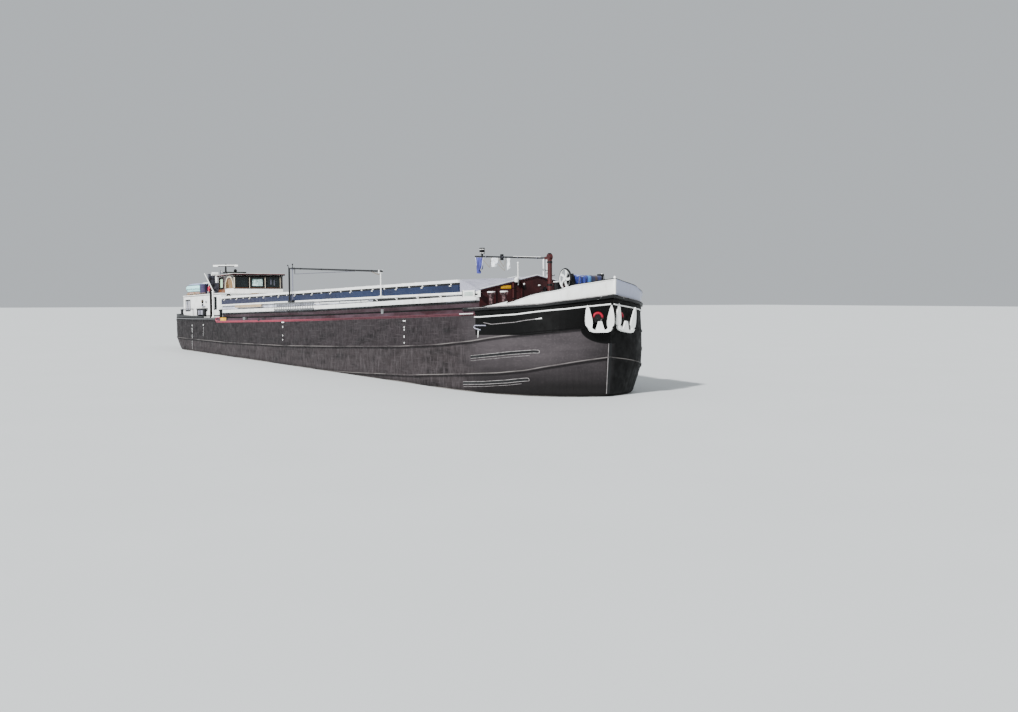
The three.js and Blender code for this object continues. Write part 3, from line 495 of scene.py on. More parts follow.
@dataclass(frozen=True)
class Cloth(Finish):
    """Woven cloth with a visible weave and soft dirt."""

    colour: str = "a9cfe0"
    fold: str = "7fa9c0"
    thread: float = 0.004
    roughness: float = 0.85

    def make(self) -> Material:
        """Make the cloth's material.

        Returns:
            The material.
        """
        coat = Coat(self.name)
        turns = [coat.math("MULTIPLY", axis, 2 * math.pi / self.thread) for axis in (coat.x, coat.y)]
        waves = [coat.math("SINE", turn) for turn in turns]
        weave = coat.spread(coat.math("MULTIPLY", *waves), -1.0, 1.0)
        patches = coat.spots(0.3, 0.4, 0.7, detail=4.0)
        coat.bump(weave, 0.0005)
        coat.shader.inputs["Sheen Weight"].default_value = 0.25
        return coat.finish(coat.mix(patches, self.colour, self.fold), self.roughness)


@dataclass(frozen=True)
class BandedCloth(Cloth):
    """Cloths that lie side by side, each in its own colour across the ship, with pale creases on top."""

    bands: tuple[tuple[float, str], ...] = (
        (0.0, "2d6fa8"), (0.1, "141a3c"), (0.24, "33221f"), (0.32, "18204a"),
    )
    crease: str = "c9d4ee"

    def make(self) -> Material:
        """Make the cloths' material.

        Returns:
            The material.
        """
        coat = Coat(self.name)
        colour = coat.mix(coat.spots(0.06, 0.4, 0.65, detail=4.0), self.colour, self.fold)
        for edge, shade in self.bands:
            colour = coat.mix(coat.above(coat.y, edge, 0.008), colour, shade)
        creases = coat.both(
            coat.spots(0.05, 0.5, 0.62, 0.8, (0.6, 2.5, 1.0)),
            coat.above(coat.z, 3.5, 0.02),
            coat.spread(coat.y, 0.02, 0.12, 1.0, 0.15),
        )
        coat.bump(coat.noise(0.01, detail=4.0), 0.0008)
        coat.shader.inputs["Sheen Weight"].default_value = 0.2
        return coat.finish(coat.mix(creases, colour, self.crease), self.roughness)


@dataclass(frozen=True)
class BoatCloth(Cloth):
    """The boat's cover: pale on top, with a dark line painted as shadow and a lighter skirt below it."""

    line: tuple[float, float] = (4.225, 4.27)
    skirt: str = "a9e6e8"

    def make(self) -> Material:
        """Make the cover's material.

        Returns:
            The material.
        """
        coat = Coat(self.name)
        folds = coat.spots(0.25, 0.4, 0.7, detail=4.0)
        top = coat.mix(folds, self.colour, self.fold)
        colour = coat.mix(coat.above(coat.z, self.line[0]), self.skirt, top)
        # The dark line between top and skirt is painted shadow.
        colour = coat.mix(coat.between(coat.z, *self.line), colour, "141c36")
        coat.bump(coat.noise(0.008, detail=3.0), 0.0006)
        coat.shader.inputs["Sheen Weight"].default_value = 0.2
        return coat.finish(colour, self.roughness)


@dataclass(frozen=True)
class WheelCoat(Paint):
    """White spokes and hub inside a black rim, for a wheel that turns across the ship."""

    hub: tuple[float, float] = (17.845, 3.43)
    rim: float = 0.262

    def make(self) -> Material:
        """Make the wheel's paint.

        Returns:
            The material.
        """
        coat = Coat(self.name)
        over = coat.math("SUBTRACT", coat.x, self.hub[0])
        up = coat.math("SUBTRACT", coat.z, self.hub[1])
        squares = [coat.math("MULTIPLY", way, way) for way in (over, up)]
        far = coat.math("SQRT", coat.math("ADD", *squares))
        worn = coat.spots(0.05, 0.5, 0.7, 0.6, detail=4.0)
        white = coat.mix(worn, self.colour, self.patch)
        black = coat.mix(worn, "060607", "1c1c1e")
        coat.bump(coat.noise(0.02), self.relief)
        colour = coat.mix(coat.above(far, self.rim), white, black)
        return coat.finish(colour, self.roughness, gloss=self.gloss)


@dataclass(frozen=True)
class HullCoat(Finish):
    """The hull's tarry paint in its zones: deck, sheer band, sides, black bow and bare inside."""

    side: str = "1b1819"
    fore_side: str = "262123"
    low_side: str = "2c2728"
    streak: str = "544e50"
    shade: str = "0d0b0c"
    bow_side: str = "343032"
    bow_worn: str = "454042"
    bow_shade: str = "0f0e0e"
    port_shade: str = "040404"
    black: str = "020202"
    band: str = "2c161b"
    band_worn: str = "4b3a42"
    bar: str = "9c4454"
    bar_dull: str = "3f2a2f"
    deck: str = "343938"
    inside: str = "6d6458"
    bottom: str = "0c0908"
    hold_half: Table = ((STERN, 2.38), (12.0, 2.38), (15.07, 2.09), (BOW, 2.09))
    hold_ends: tuple[float, float] = (-10.35, 15.1)
    hold_floor: float = 0.19
    bow_start: tuple[float, float] = (14.8, 16.2)

    def make(self) -> Material:
        """Make the hull's material.

        Returns:
            The material.
        """
        coat = Coat(self.name)
        over_deck = coat.over(DECK)
        colour = self.side_colour(coat)
        colour = self.strake_light(coat, colour, UPPER_STRAKE)
        colour = self.strake_light(coat, colour, LOWER_STRAKE)
        colour = self.sheer_band(coat, colour, over_deck)
        colour = coat.mix(self.black_zone(coat), colour, self.black)
        colour = self.water_edge(coat, colour)
        outside = coat.math("SUBTRACT", coat.math("ABSOLUTE", coat.y), coat.along(self.hold_half))
        in_hold = coat.both(
            coat.fall(outside, 0.0, 0.004),
            coat.above(coat.z, self.hold_floor),
            coat.fall(over_deck, -0.02, -0.005),
            coat.between(coat.x, *self.hold_ends),
        )
        colour = coat.mix(in_hold, colour, coat.mix(coat.noise(0.4), self.inside, "5e4a3c"))
        on_deck = coat.both(coat.above(over_deck, -0.01), coat.facing_up())
        deck_colour = coat.mix(coat.spots(0.6, 0.35, 0.7), self.deck, "3b403f")
        colour = coat.mix(on_deck, colour, deck_colour)
        fine = coat.math("MULTIPLY", coat.noise(0.025), 0.12)
        coat.bump(coat.math("ADD", coat.noise(0.9, (1.6, 1.0, 1.0), 2.0), fine), 0.012)
        return coat.finish(colour, coat.spread(coat.noise(0.2), 0.3, 0.7, 0.5, 0.75), gloss=0.12)

    def side_colour(self, coat: Coat) -> Socket:
        """Colour of the plain sides: streaked aft, smoother and smudged towards the bow, with painted shade
        on the port side of the bow.

        Args:
            coat: The material being made.

        Returns:
            The colour's socket.
        """
        streaks = coat.spots(0.06, 0.48, 0.74, 0.5, (1.2, 1.0, 6.0), 5.0)
        scuffs = coat.spots(0.05, 0.52, 0.74, 0.35, (12.0, 1.0, 1.0), 4.0)
        specks = coat.spots(0.09, 0.5, 0.76, 0.3, (1.2, 1.0, 2.0), 5.0)
        dark = coat.spots(0.4, 0.48, 0.72, 0.8, (3.0, 1.0, 0.6), 5.0)
        under_strake = coat.over(UPPER_STRAKE)
        low = coat.fall(under_strake, -0.1, 0.0)
        upper = coat.mix(coat.spread(coat.x, -9.0, 3.0), self.side, self.fore_side)
        colour = coat.mix(dark, coat.mix(low, upper, self.low_side), self.shade)
        colour = coat.mix(coat.both(streaks, coat.spread(low, 0.0, 1.0, 0.35, 1.0)), colour, self.streak)
        colour = coat.mix(coat.math("MAXIMUM", scuffs, specks), colour, self.streak)
        seam = coat.spread(coat.math("PINGPONG", coat.x, 2.9), 0.0, 0.018, 0.5, 0.0)
        colour = coat.mix(seam, colour, self.shade)
        smudges = coat.spots(0.25, 0.3, 0.75, stretch=(6.0, 4.0, 0.8), detail=4.0)
        bow_colour = coat.mix(smudges, self.bow_side, self.bow_worn)
        bow_colour = coat.mix(scuffs, bow_colour, self.streak)
        # Darker towards the bottom and near the stem; the port side of the bow is darkened further as painted
        # shade.
        low = coat.spread(coat.z, 0.5, 1.4, 0.9, 0.0)
        near_stem = coat.spread(coat.math("ABSOLUTE", coat.y), 0.15, 0.9, 0.5, 0.0)
        bow_colour = coat.mix(coat.math("MAXIMUM", low, near_stem), bow_colour, self.bow_shade)
        bow_colour = coat.mix(coat.spread(coat.y, 0.0, 0.25, 0.0, 0.95), bow_colour, self.port_shade)
        return coat.mix(coat.spread(coat.x, *self.bow_start), colour, bow_colour)

    def strake_light(self, coat: Coat, colour: object, table: Table) -> Socket:
        """Painted highlight along the top edge of a rubbing strake, broken in patches, with a painted shadow
        line under it.

        Args:
            coat: The material being made.
            colour: The colour below it.
            table: The strake's height along the ship.

        Returns:
            The new colour's socket.
        """
        height = coat.over(table)
        # The patchy light line on top is a painted highlight and the dark line under it is painted shadow.
        patches = coat.spread(coat.noise(0.4, (3.0, 1.0, 1.0)), 0.35, 0.6, 0.1, 0.6)
        worn = coat.both(coat.between(height, 0.0, 0.022), patches)
        under = coat.both(coat.between(height, -0.075, -0.02, 0.01), 0.7)
        colour = coat.mix(under, colour, self.shade)
        return coat.mix(worn, colour, "87827f")

    def sheer_band(self, coat: Coat, colour: object, over_deck: object) -> Socket:
        """The maroon band under the deck: a black edge, the salmon bar that dulls forward, a black end aft.

        Args:
            coat: The material being made.
            colour: The colour below it.
            over_deck: The height over the deck's edge.

        Returns:
            The new colour's socket.
        """
        forward = coat.above(coat.x, BAND_AFT, 0.01)
        aft = coat.spread(coat.x, -10.0, 6.0, 0.25, -0.05)
        worn = coat.math("ADD", coat.noise(0.5, (3.0, 1.0, 0.6)), aft)
        paint = coat.mix(coat.spread(worn, 0.35, 0.7), self.band, self.band_worn)
        colour = coat.mix(coat.both(coat.above(over_deck, -0.235), forward), colour, paint)
        bar = coat.both(coat.between(over_deck, -0.232, -0.158), forward)
        chips = coat.spread(coat.noise(1.4, (4.0, 1.0, 1.0)), 0.35, 0.6, 0.5, 0.0)
        dull = coat.math("MAXIMUM", coat.spread(coat.x, -2.0, 6.0, 0.0, 0.9), chips)
        colour = coat.mix(bar, colour, coat.mix(dull, self.bar, self.bar_dull))
        colour = coat.mix(coat.both(coat.above(over_deck, -0.05), forward), colour, self.black)
        aft = coat.fall(coat.x, BAND_AFT - 0.01, BAND_AFT)
        colour = coat.mix(coat.both(coat.above(over_deck, -0.14), aft), colour, self.black)
        return coat.mix(coat.both(coat.between(over_deck, -0.085, -0.045), aft), colour, "6a6a6c")

    def black_zone(self, coat: Coat) -> Socket:
        """The black field under the bow rail.

        Args:
            coat: The material being made.

        Returns:
            The field's mask.
        """
        over_foot = coat.over(BLACK_FOOT)
        field = coat.both(coat.above(over_foot, 0.0), coat.above(coat.x, BLACK_AFT, 0.004))
        across = coat.math("POWER", coat.math("DIVIDE", coat.y, ANCHOR_FIELD[0]), 2.0)
        under = coat.math("SUBTRACT", coat.z, ANCHOR_HEIGHT)
        down = coat.math("POWER", coat.math("DIVIDE", under, ANCHOR_FIELD[1]), 2.0)
        under_anchors = coat.both(
            coat.fall(coat.math("ADD", across, down), 0.98, 1.02),
            coat.above(coat.x, 17.5, 0.01),
            coat.fall(coat.z, ANCHOR_HEIGHT, ANCHOR_HEIGHT + 0.02),
        )
        return coat.math("MAXIMUM", field, under_anchors)

    def water_edge(self, coat: Coat, colour: object) -> Socket:
        """The wet dark bottom, with a thin pale line of dried dirt along the water.

        Args:
            coat: The material being made.
            colour: The colour below it.

        Returns:
            The new colour's socket.
        """
        height = coat.math("SUBTRACT", coat.z, coat.math("MULTIPLY", coat.x, WATER_SLOPE))
        water = water_height(0.0)
        colour = coat.mix(coat.spread(height, water, water + 0.135, 0.8, 0.0), colour, self.bottom)
        patches = coat.spots(0.5, 0.4, 0.6, 0.6, (5.0, 1.0, 1.0))
        line = coat.between(height, water + 0.005, water + 0.027)
        return coat.mix(coat.both(line, patches), colour, "8b8680")


@dataclass(frozen=True)
class CoamingCoat(Finish):
    """The coaming side: white top flange, a recess painted dark as shade along part of it, white ledge and
    worn maroon foot, with painted shadow lines under the flange and over and under the ledge.
    """

    foot: str = "43343a"
    maroon: str = "2a151c"
    # recess is painted shade; line is the black of the line at the deck and of the painted shadow lines.
    recess: str = "0a0b0e"
    pale_recess: str = "d2d4e2"
    line: str = "050505"
    white: str = "f4f5f3"
    shaded_part: tuple[float, float] = (7.6, 13.15)
    foot_top: float = 0.2
    ledge: tuple[float, float] = (0.212, 0.374)
    flange: float = 3.08

    def make(self) -> Material:
        """Make the coaming's material.

        Returns:
            The material.
        """
        coat = Coat(self.name)
        over_deck = coat.over(DECK)
        foot = coat.mix(coat.spots(0.5, 0.35, 0.65, stretch=(4.0, 1.0, 0.6)), self.foot, self.maroon)
        # A black line along the deck; the black band under the ledge is painted as its shadow.
        foot = coat.mix(coat.fall(over_deck, 0.02, 0.026), foot, self.line)
        foot = coat.mix(coat.above(over_deck, 0.155), foot, self.line)
        # The near-black recess over the shaded part is painted shade under the flange; elsewhere the pale
        # recess gets thin painted shadow lines under the flange and over the ledge.
        recess = coat.mix(coat.spots(0.3, 0.4, 0.7), self.recess, "15171c")
        pale = coat.mix(coat.spots(0.15, 0.4, 0.65, stretch=(6.0, 1.0, 1.0)), self.pale_recess, "8f919c")
        pale = coat.mix(coat.between(over_deck, 0.37, 0.39), pale, self.line)
        pale = coat.mix(coat.between(coat.z, 3.05, 3.068), pale, self.line)
        recess = coat.mix(coat.between(coat.x, *self.shaded_part, 0.01), pale, recess)
        colour = coat.mix(coat.above(over_deck, self.foot_top), foot, recess)
        stains = coat.spots(0.2, 0.5, 0.75, 0.5, (1.0, 1.0, 3.0), 4.0)
        white = coat.mix(stains, self.white, "b9b3a8")
        outward = coat.math("ABSOLUTE", coat.y)
        ledge = coat.both(coat.between(over_deck, *self.ledge), coat.above(outward, 1.952, 0.001))
        top = coat.both(coat.above(coat.z, self.flange), coat.above(outward, 1.94, 0.004))
        colour = coat.mix(coat.math("MAXIMUM", ledge, top), colour, white)
        coat.bump(coat.noise(0.04, detail=4.0), 0.0008)
        return coat.finish(colour, coat.spread(coat.noise(0.2), 0.3, 0.7, 0.4, 0.6), gloss=0.3)


@dataclass(frozen=True)
class CoverCoat(Finish):
    """The hatch covers: blue sides that grey aft, white rim with a near-black band under it painted as its
    shadow, and pale cambered top.
    """

    blue: str = "091533"
    blue_worn: str = "132649"
    blue_grey: str = "20213a"
    white: str = "f4f5f3"
    top: str = "b9bdbb"
    recess: str = "07080b"
    recess_foot: float = 3.3785
    rim_foot: float = 3.441

    def make(self) -> Material:
        """Make the covers' material.

        Returns:
            The material.
        """
        coat = Coat(self.name)
        blue = coat.mix(coat.spots(0.6, 0.35, 0.7, stretch=(3.0, 1.0, 1.0)), self.blue, self.blue_worn)
        blue = coat.mix(coat.spread(coat.x, -8.0, 6.0, 0.85, 0.0), blue, self.blue_grey)
        chalk = coat.spots(0.12, 0.55, 0.78, 0.5, (1.0, 1.0, 3.0), 4.0)
        white = coat.mix(chalk, self.white, "a9a59b")
        colour = coat.mix(coat.above(coat.z, self.rim_foot, 0.001), blue, white)
        # The recess band under the rim is painted near-black as the rim's shadow.
        recess = coat.between(coat.z, self.recess_foot, self.rim_foot, 0.0005)
        colour = coat.mix(recess, colour, self.recess)
        tops = coat.mix(coat.spots(0.5, 0.4, 0.7), self.top, "9a9e9b")
        colour = coat.mix(coat.both(coat.facing_up(), coat.above(coat.z, 3.5)), colour, tops)
        inside = coat.fall(coat.math("ABSOLUTE", coat.y), 1.936, 1.942)
        hidden = coat.both(inside, coat.math("SUBTRACT", 1.0, coat.facing_up()))
        colour = coat.mix(hidden, colour, "8d8f8c")
        coat.bump(coat.noise(0.05, detail=4.0), 0.0008)
        return coat.finish(colour, coat.spread(coat.noise(0.2), 0.3, 0.7, 0.35, 0.55), gloss=0.3)


HULL = HullCoat("tarred_hull_steel", "hull_paint")
COAMING = CoamingCoat("coaming_paint", "maroon_paint")
COVER = CoverCoat("hatch_cover_paint", "blue_paint")
WHITE = Paint("white_enamel", "white_paint", "f8f9f7", "e9e9e4", "8f8577", 0.22, 0.38, gloss=0.4)
CREAM = Paint("cream_enamel", "white_paint", "dcd3bf", "c8bda4", "7a6a55", 0.25, 0.4)
BLACK = Paint("black_enamel", "black_paint", "050607", "0d0f11", "2c2a28", 0.3, 0.4)
MAROON = Paint("maroon_enamel", "maroon_paint", "24090f", "38161c", "180f10", 0.4, 0.5)
GABLE = Paint("red_brown_enamel", "maroon_paint", "2a0d0f", "3a1718", "170c0c", 0.35, 0.5)
GREY = Paint("pale_grey_enamel", "grey_paint", "a0a0ae", "8e8e9d", "6c6864", 0.3, 0.45)
MAST_BROWN = Paint("mast_brown_enamel", "brown_paint", "431b1b", "361515", "1c0f0f", 0.3, 0.45)
DARK = Paint("gear_black_enamel", "dark_paint", "08080a", "121216", "35322f", 0.35, 0.45)
SLATE = Paint("slate_grey_enamel", "dark_paint", "5e5e6a", "4b4b56", "2c2a2a", 0.3, 0.45)
BLUE = Paint("blue_enamel", "blue_paint", "16275a", "101c44", "2b2b31", 0.25, 0.42)
ENGINE_GREEN = Paint("machinery_green_enamel", "engine_paint", "4f6b58", "43604e", "2b2b26", 0.45, 0.45)
YELLOW = Paint("yellow_plate_enamel", "white_paint", "e0a608", "c08d06", "75612a", 0.15, 0.4)
TENDER = Paint(
    "boat_enamel", "white_paint", "b4eded", "9cd6da", "5f8a8c", 0.2, 0.4,
    zones=(Zone("c9a79b", z=(3.79, 3.925)), Zone("2c1d18", z=(3.775, 3.79)), Zone("0b0b0d", z=(3.6, 3.775))),
)
# Teal drum paint; the violet on its forward side is painted shade, and it is near-black at its foot.
DRUM = Paint(
    "drum_enamel_with_shaded_side", "blue_paint", "1d6660", "164f4d", "2c3836", 0.25, 0.4,
    zones=(Zone("3d3654", x=(-14.66, -14.0), soft=0.06), Zone("101014", z=(3.6, 3.79), soft=0.03)),
)
WHEEL = WheelCoat("wheel_enamel", "white_paint", "f4f5f3", "a9a59c")
SALMON = Paint("salmon_enamel", "maroon_paint", "b8566a", "9a4658", "4a2a30", 0.3, 0.45)
CRIMSON = Paint("crimson_enamel", "maroon_paint", "c0153c", "a01030", "5a1a26", 0.25, 0.45)
# Crimson hawse ring paint, near-black on its lower part as painted shade.
HAWSE_WITH_SHADE = Paint(
    "hawse_enamel_shaded_below", "maroon_paint", "a00c2c", "800820", "30080f", 0.3, 0.4,
    zones=(Zone("060304", z=(2.0, 2.37), soft=0.03),),
)
FASCIA = Paint("dark_fascia_enamel", "dark_paint", "070303", "120807", "1c1210", 0.3, 0.5, gloss=0.1)
# Light grey for worn edges and beads, also used for the painted highlight on the stem bar.
EDGE_GREY = Paint("worn_edge_and_highlight_grey", "grey_paint", "8a8686", "5e5a5a", "403c3c", 0.4, 0.5, patch_size=0.12)
# White bulwark paint, lavender-grey on the port side as painted shade.
BULWARK_WITH_PORT_SHADE = replace(WHITE, name="bulwark_enamel_with_port_shade", zones=(Zone("a9aec4", y=(0.05, 3.0), soft=0.05),))
SCANNER = replace(
    WHITE, name="scanner_enamel", dirt_share=0.2, zones=(Zone("08080a", y=(-1.42, -0.7), z=(5.0, 5.135)),)
)
TEAK = Varnish("varnished_teak", "varnish", "8a5427", "552e12")
TEAK_UPRIGHT = Varnish(
    "varnished_teak_upright", "varnish", "8d5b28", "4d2a12", (1.0, 1.0, 14.0),
    zones=(
        Zone("f4f5f3", x=(-12.34, -10.6), z=(3.6, 3.965)),
        Zone("140706", x=(-12.34, -10.6), z=(3.965, 4.7)),
        Zone("2a0d0b", x=(-13.6, -12.34), z=(3.965, 4.7)),
    ),
)
DOOR = Varnish(
    "varnished_door", "varnish", "8a5427", "552e12", (1.0, 1.0, 14.0),
    zones=(Zone("f4f5f3", x=(-12.34, -10.6), z=(3.6, 3.965)),),
)
OLIVE = Varnish("weathered_tan_panel", "varnish", "9a7637", "6a4c20", (1.0, 1.0, 14.0))
BOARDS = Varnish("plain_boards", "wood", "cdb898", "a08867", roughness=0.6)
STEEL = Metal("galvanised_steel", "dark_paint", "a2a4a6", "6a6864", 0.4)
BRONZE = Metal("cast_bronze", "bronze", "b98d4a", "6f5a34", 0.3)
BRASS = Metal("polished_brass", "bronze", "d2aa5a", "97793c", 0.22)
GLASS = Pane("window_glass", "glass", "2b3436", 0.8)
PANEL_GREEN = Paint("pale_panel_enamel", "white_paint", "b9c6bf", "a3b0a9", "7d786c", 0.3, 0.45)
# Dark maroon bollard paint; its lighter mottling is painted highlight.
BOLLARD = Paint("bollard_paint_with_painted_highlights", "brown_paint", "231516", "755a5b", "100b0b", 0.5, 0.5, patch_size=0.07)
STACK = Paint("sooty_stack_paint", "dark_paint", "0b0b0f", "45454f", "6d6d78", 0.3, 0.5, patch_size=0.2)
FRAME = replace(DARK, name="mast_frame_paint", zones=(Zone("66667a", x=(-0.2, 0.2), z=(3.2, 4.43)),))
# Pale patches laid over window glass as painted reflections of the bright sky.
PAINTED_PANE_REFLECTION = Paint(
    "painted_pale_reflection", "glass", "d2ece6", "2a6a62", "142422", 0.7, 0.15, patch_size=0.12, gloss=0.5
)
PAINTED_MINT_REFLECTION = Paint("painted_mint_reflection", "glass", "c4f0c8", "a6d8b0", "6f9a7a", 0.2, 0.15, gloss=0.5)
CURTAIN = Cloth("pale_curtain_cloth", "cover_fabric", "a9aab4", "70727e")
TARPAULIN = BoatCloth("lavender_tarpaulin", "cover_fabric", "b4c3e4", "8d9fc8")
WINDLASS_CLOTH = BandedCloth("banded_windlass_cloth", "cover_fabric", "1d2f86", "0f1c55")
FLAG_WHITE = Cloth("white_flag_cloth", "cover_fabric", "eef0f2", "c6ccd6")
FLAG_BLUE = Cloth("violet_flag_cloth", "cover_fabric", "3b3f8e", "2a2c68")
HEMP = Varnish("hemp_rope", "wood", "8f7a55", "5f4f35", (1.0, 1.0, 1.0), 0.9)


# Meshes


class Axis(Enum):
    """The axis that a turned or extruded shape lies along."""

    X = 0
    Y = 1
    Z = 2

    def turn(self, u: float, v: float, w: float) -> Vector:
        """The frame's point for two places across this axis and one along it."""
        return Vector({Axis.X: (w, u, v), Axis.Y: (u, w, v), Axis.Z: (u, v, w)}[self])


def link_object(name: str, data: bpy.types.ID) -> Object:
    """Make an object and put it in the scene.

    Args:
        name: Its name.
        data: Its mesh, camera or light.

    Returns:
        The object.
    """
    made = bpy.data.objects.new(name, data)
    bpy.context.scene.collection.objects.link(made)
    return made


def soften(mesh: bpy.types.Mesh) -> bpy.types.Mesh:
    """Shade a mesh smooth but for its sharp edges.

    Args:
        mesh: The mesh.

    Returns:
        The same mesh.
    """
    mesh.polygons.foreach_set("use_smooth", [True] * len(mesh.polygons))
    mesh.set_sharp_from_angle(angle=SHARP_ANGLE)
    return mesh


class Shape:
    """Points and faces of one piece, with a finish for each face."""

    def __init__(self) -> None:
        """Start an empty shape."""
        self.points: list[Vector] = []
        self.faces: list[tuple[int, ...]] = []
        self.marks: list[int] = []
        self.finishes: list[Finish] = []

    def add(self, points: Sequence[Point], faces: Sequence[Sequence[int]], finish: Finish) -> "Shape":
        """Add points and faces.

        Args:
            points: The new points.
            faces: Faces by the new points' own numbers.
            finish: The faces' finish.

        Returns:
            This shape.
        """
        if finish not in self.finishes:
            self.finishes.append(finish)
        base = len(self.points)
        self.points.extend(Vector(p) for p in points)
        self.faces.extend(tuple(i + base for i in face) for face in faces)
        self.marks.extend([self.finishes.index(finish)] * len(faces))
        return self

    def box(self, low: Point, high: Point, finish: Finish, bevel: float = 0.004) -> "Shape":
        """Add a block with softened edges.

        Args:
            low: Its lowest corner.
            high: Its highest corner.
            finish: Its finish.
            bevel: The edges' radius.

        Returns:
            This shape.
        """
        made = bmesh.new()
        bmesh.ops.create_cube(made, size=1.0)
        size = Vector(high) - Vector(low)
        for vertex in made.verts:
            vertex.co = Vector(low) + Vector([(c + 0.5) * s for c, s in zip(vertex.co, size)])
        if bevel:
            width = min(bevel, min(size) * 0.3)
            bmesh.ops.bevel(made, geom=made.edges[:], offset=width, segments=2, affect="EDGES", profile=0.6)
        points = [v.co.copy() for v in made.verts]
        faces = [[v.index for v in f.verts] for f in made.faces]
        made.free()
        return self.add(points, faces, finish)

    def tube(
        self, path: Sequence[Point], radius: float | Sequence[float], finish: Finish, sides: int = 10,
        closed: bool = False,
    ) -> "Shape":
        """Add a round bar along a path.

        Args:
            path: The points it passes.
            radius: Its radius, or one for each point.
            finish: Its finish.
            sides: How many sides it has.
            closed: Whether it joins up with its start.

        Returns:
            This shape.
        """
        route = [Vector(p) for p in path]
        count = len(route)
        radii = [radius] * count if isinstance(radius, (int, float)) else list(radius)
        ways = []
        for i in range(count):
            before = route[i - 1] if i or closed else route[i]
            after = route[(i + 1) % count] if i + 1 < count or closed else route[i]
            ways.append((after - before).normalized())
        side = ways[0].orthogonal().normalized()
        rings = []
        for place, way, size in zip(route, ways, radii):
            side = (side - way * side.dot(way)).normalized()
            other = way.cross(side)
            rings.append([place + (side * c + other * s) * size for c, s in circle(sides)])
        return self.ribbon(rings, finish, looped=closed)

    def turned(
        self, profile: Outline, centre: Point, axis: Axis, finish: Finish, sides: int = 24
    ) -> "Shape":
        """Add a turned form; its profile has rows of radius and place along the axis."""
        rings = [[Vector(centre) + axis.turn(r * c, r * s, w) for c, s in circle(sides)] for r, w in profile]
        return self.ribbon(rings, finish)

    def slab(
        self, outline: Outline, start: float, end: float, axis: Axis, finish: Finish
    ) -> "Shape":
        """Add a flat plate: an outline across an axis, pushed along it from start to end."""
        return self.ribbon([[axis.turn(u, v, w) for u, v in outline] for w in (start, end)], finish)

    def ribbon(
        self, sections: Sequence[Sequence[Point]], finish: Finish, closed: bool = True, looped: bool = False,
        open_start: bool = False,
    ) -> "Shape":
        """Add a skin through a row of matching sections.

        Args:
            sections: Each section's points.
            finish: Its finish.
            closed: Whether each section is a closed loop; its row then has capped ends.
            looped: Whether the last section joins the first, without caps.
            open_start: Whether the cap on the first section is left off.

        Returns:
            This shape.
        """
        rows, count = len(sections), len(sections[0])
        faces: list[tuple[int, ...]] = []
        for row in range(rows if looped else rows - 1):
            a, b = row * count, (row + 1) % rows * count
            for i in range(count if closed else count - 1):
                n = (i + 1) % count
                faces.append((a + i, a + n, b + n, b + i))
        if closed and not looped:
            caps = [tuple(range(count))[::-1], tuple(range((rows - 1) * count, rows * count))]
            faces += caps[1:] if open_start else caps
        return self.add([p for section in sections for p in section], faces, finish)

    def mirrored(self) -> "Shape":
        """Add the same on the other side of the ship.

        Returns:
            This shape.
        """
        base = len(self.points)
        self.points.extend(Vector((p.x, -p.y, p.z)) for p in list(self.points))
        self.faces.extend(tuple(i + base for i in face)[::-1] for face in list(self.faces))
        self.marks.extend(list(self.marks))
        return self

    def mesh(self, name: str) -> bpy.types.Mesh:
        """Make the mesh.

        Args:
            name: The mesh's name.

        Returns:
            The mesh, with its normals out and its finishes on.
        """
        mesh = bpy.data.meshes.new(name)
        mesh.from_pydata(self.points, [], self.faces)
        for finish in self.finishes:
            mesh.materials.append(finish.material())
        mesh.polygons.foreach_set("material_index", self.marks)
        fix = bmesh.new()
        fix.from_mesh(mesh)
        bmesh.ops.recalc_face_normals(fix, faces=fix.faces[:])
        fix.to_mesh(mesh)
        fix.free()
        return soften(mesh)

    def piece(self, name: str, body: str = "hull", slot: str = "") -> Object:
        """Make the finished piece on a body; the slot argument is not used."""
        return set_in_place(link_object(name, self.mesh(name)), body)


def set_in_place(made: Object, body: str) -> Object:
    """Let a piece ride on its body.

    Args:
        made: The piece.
        body: The body's name.

    Returns:
        The piece.
    """
    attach(made, body)
    log.info("%s rides on %s", made.name, body)
    return made


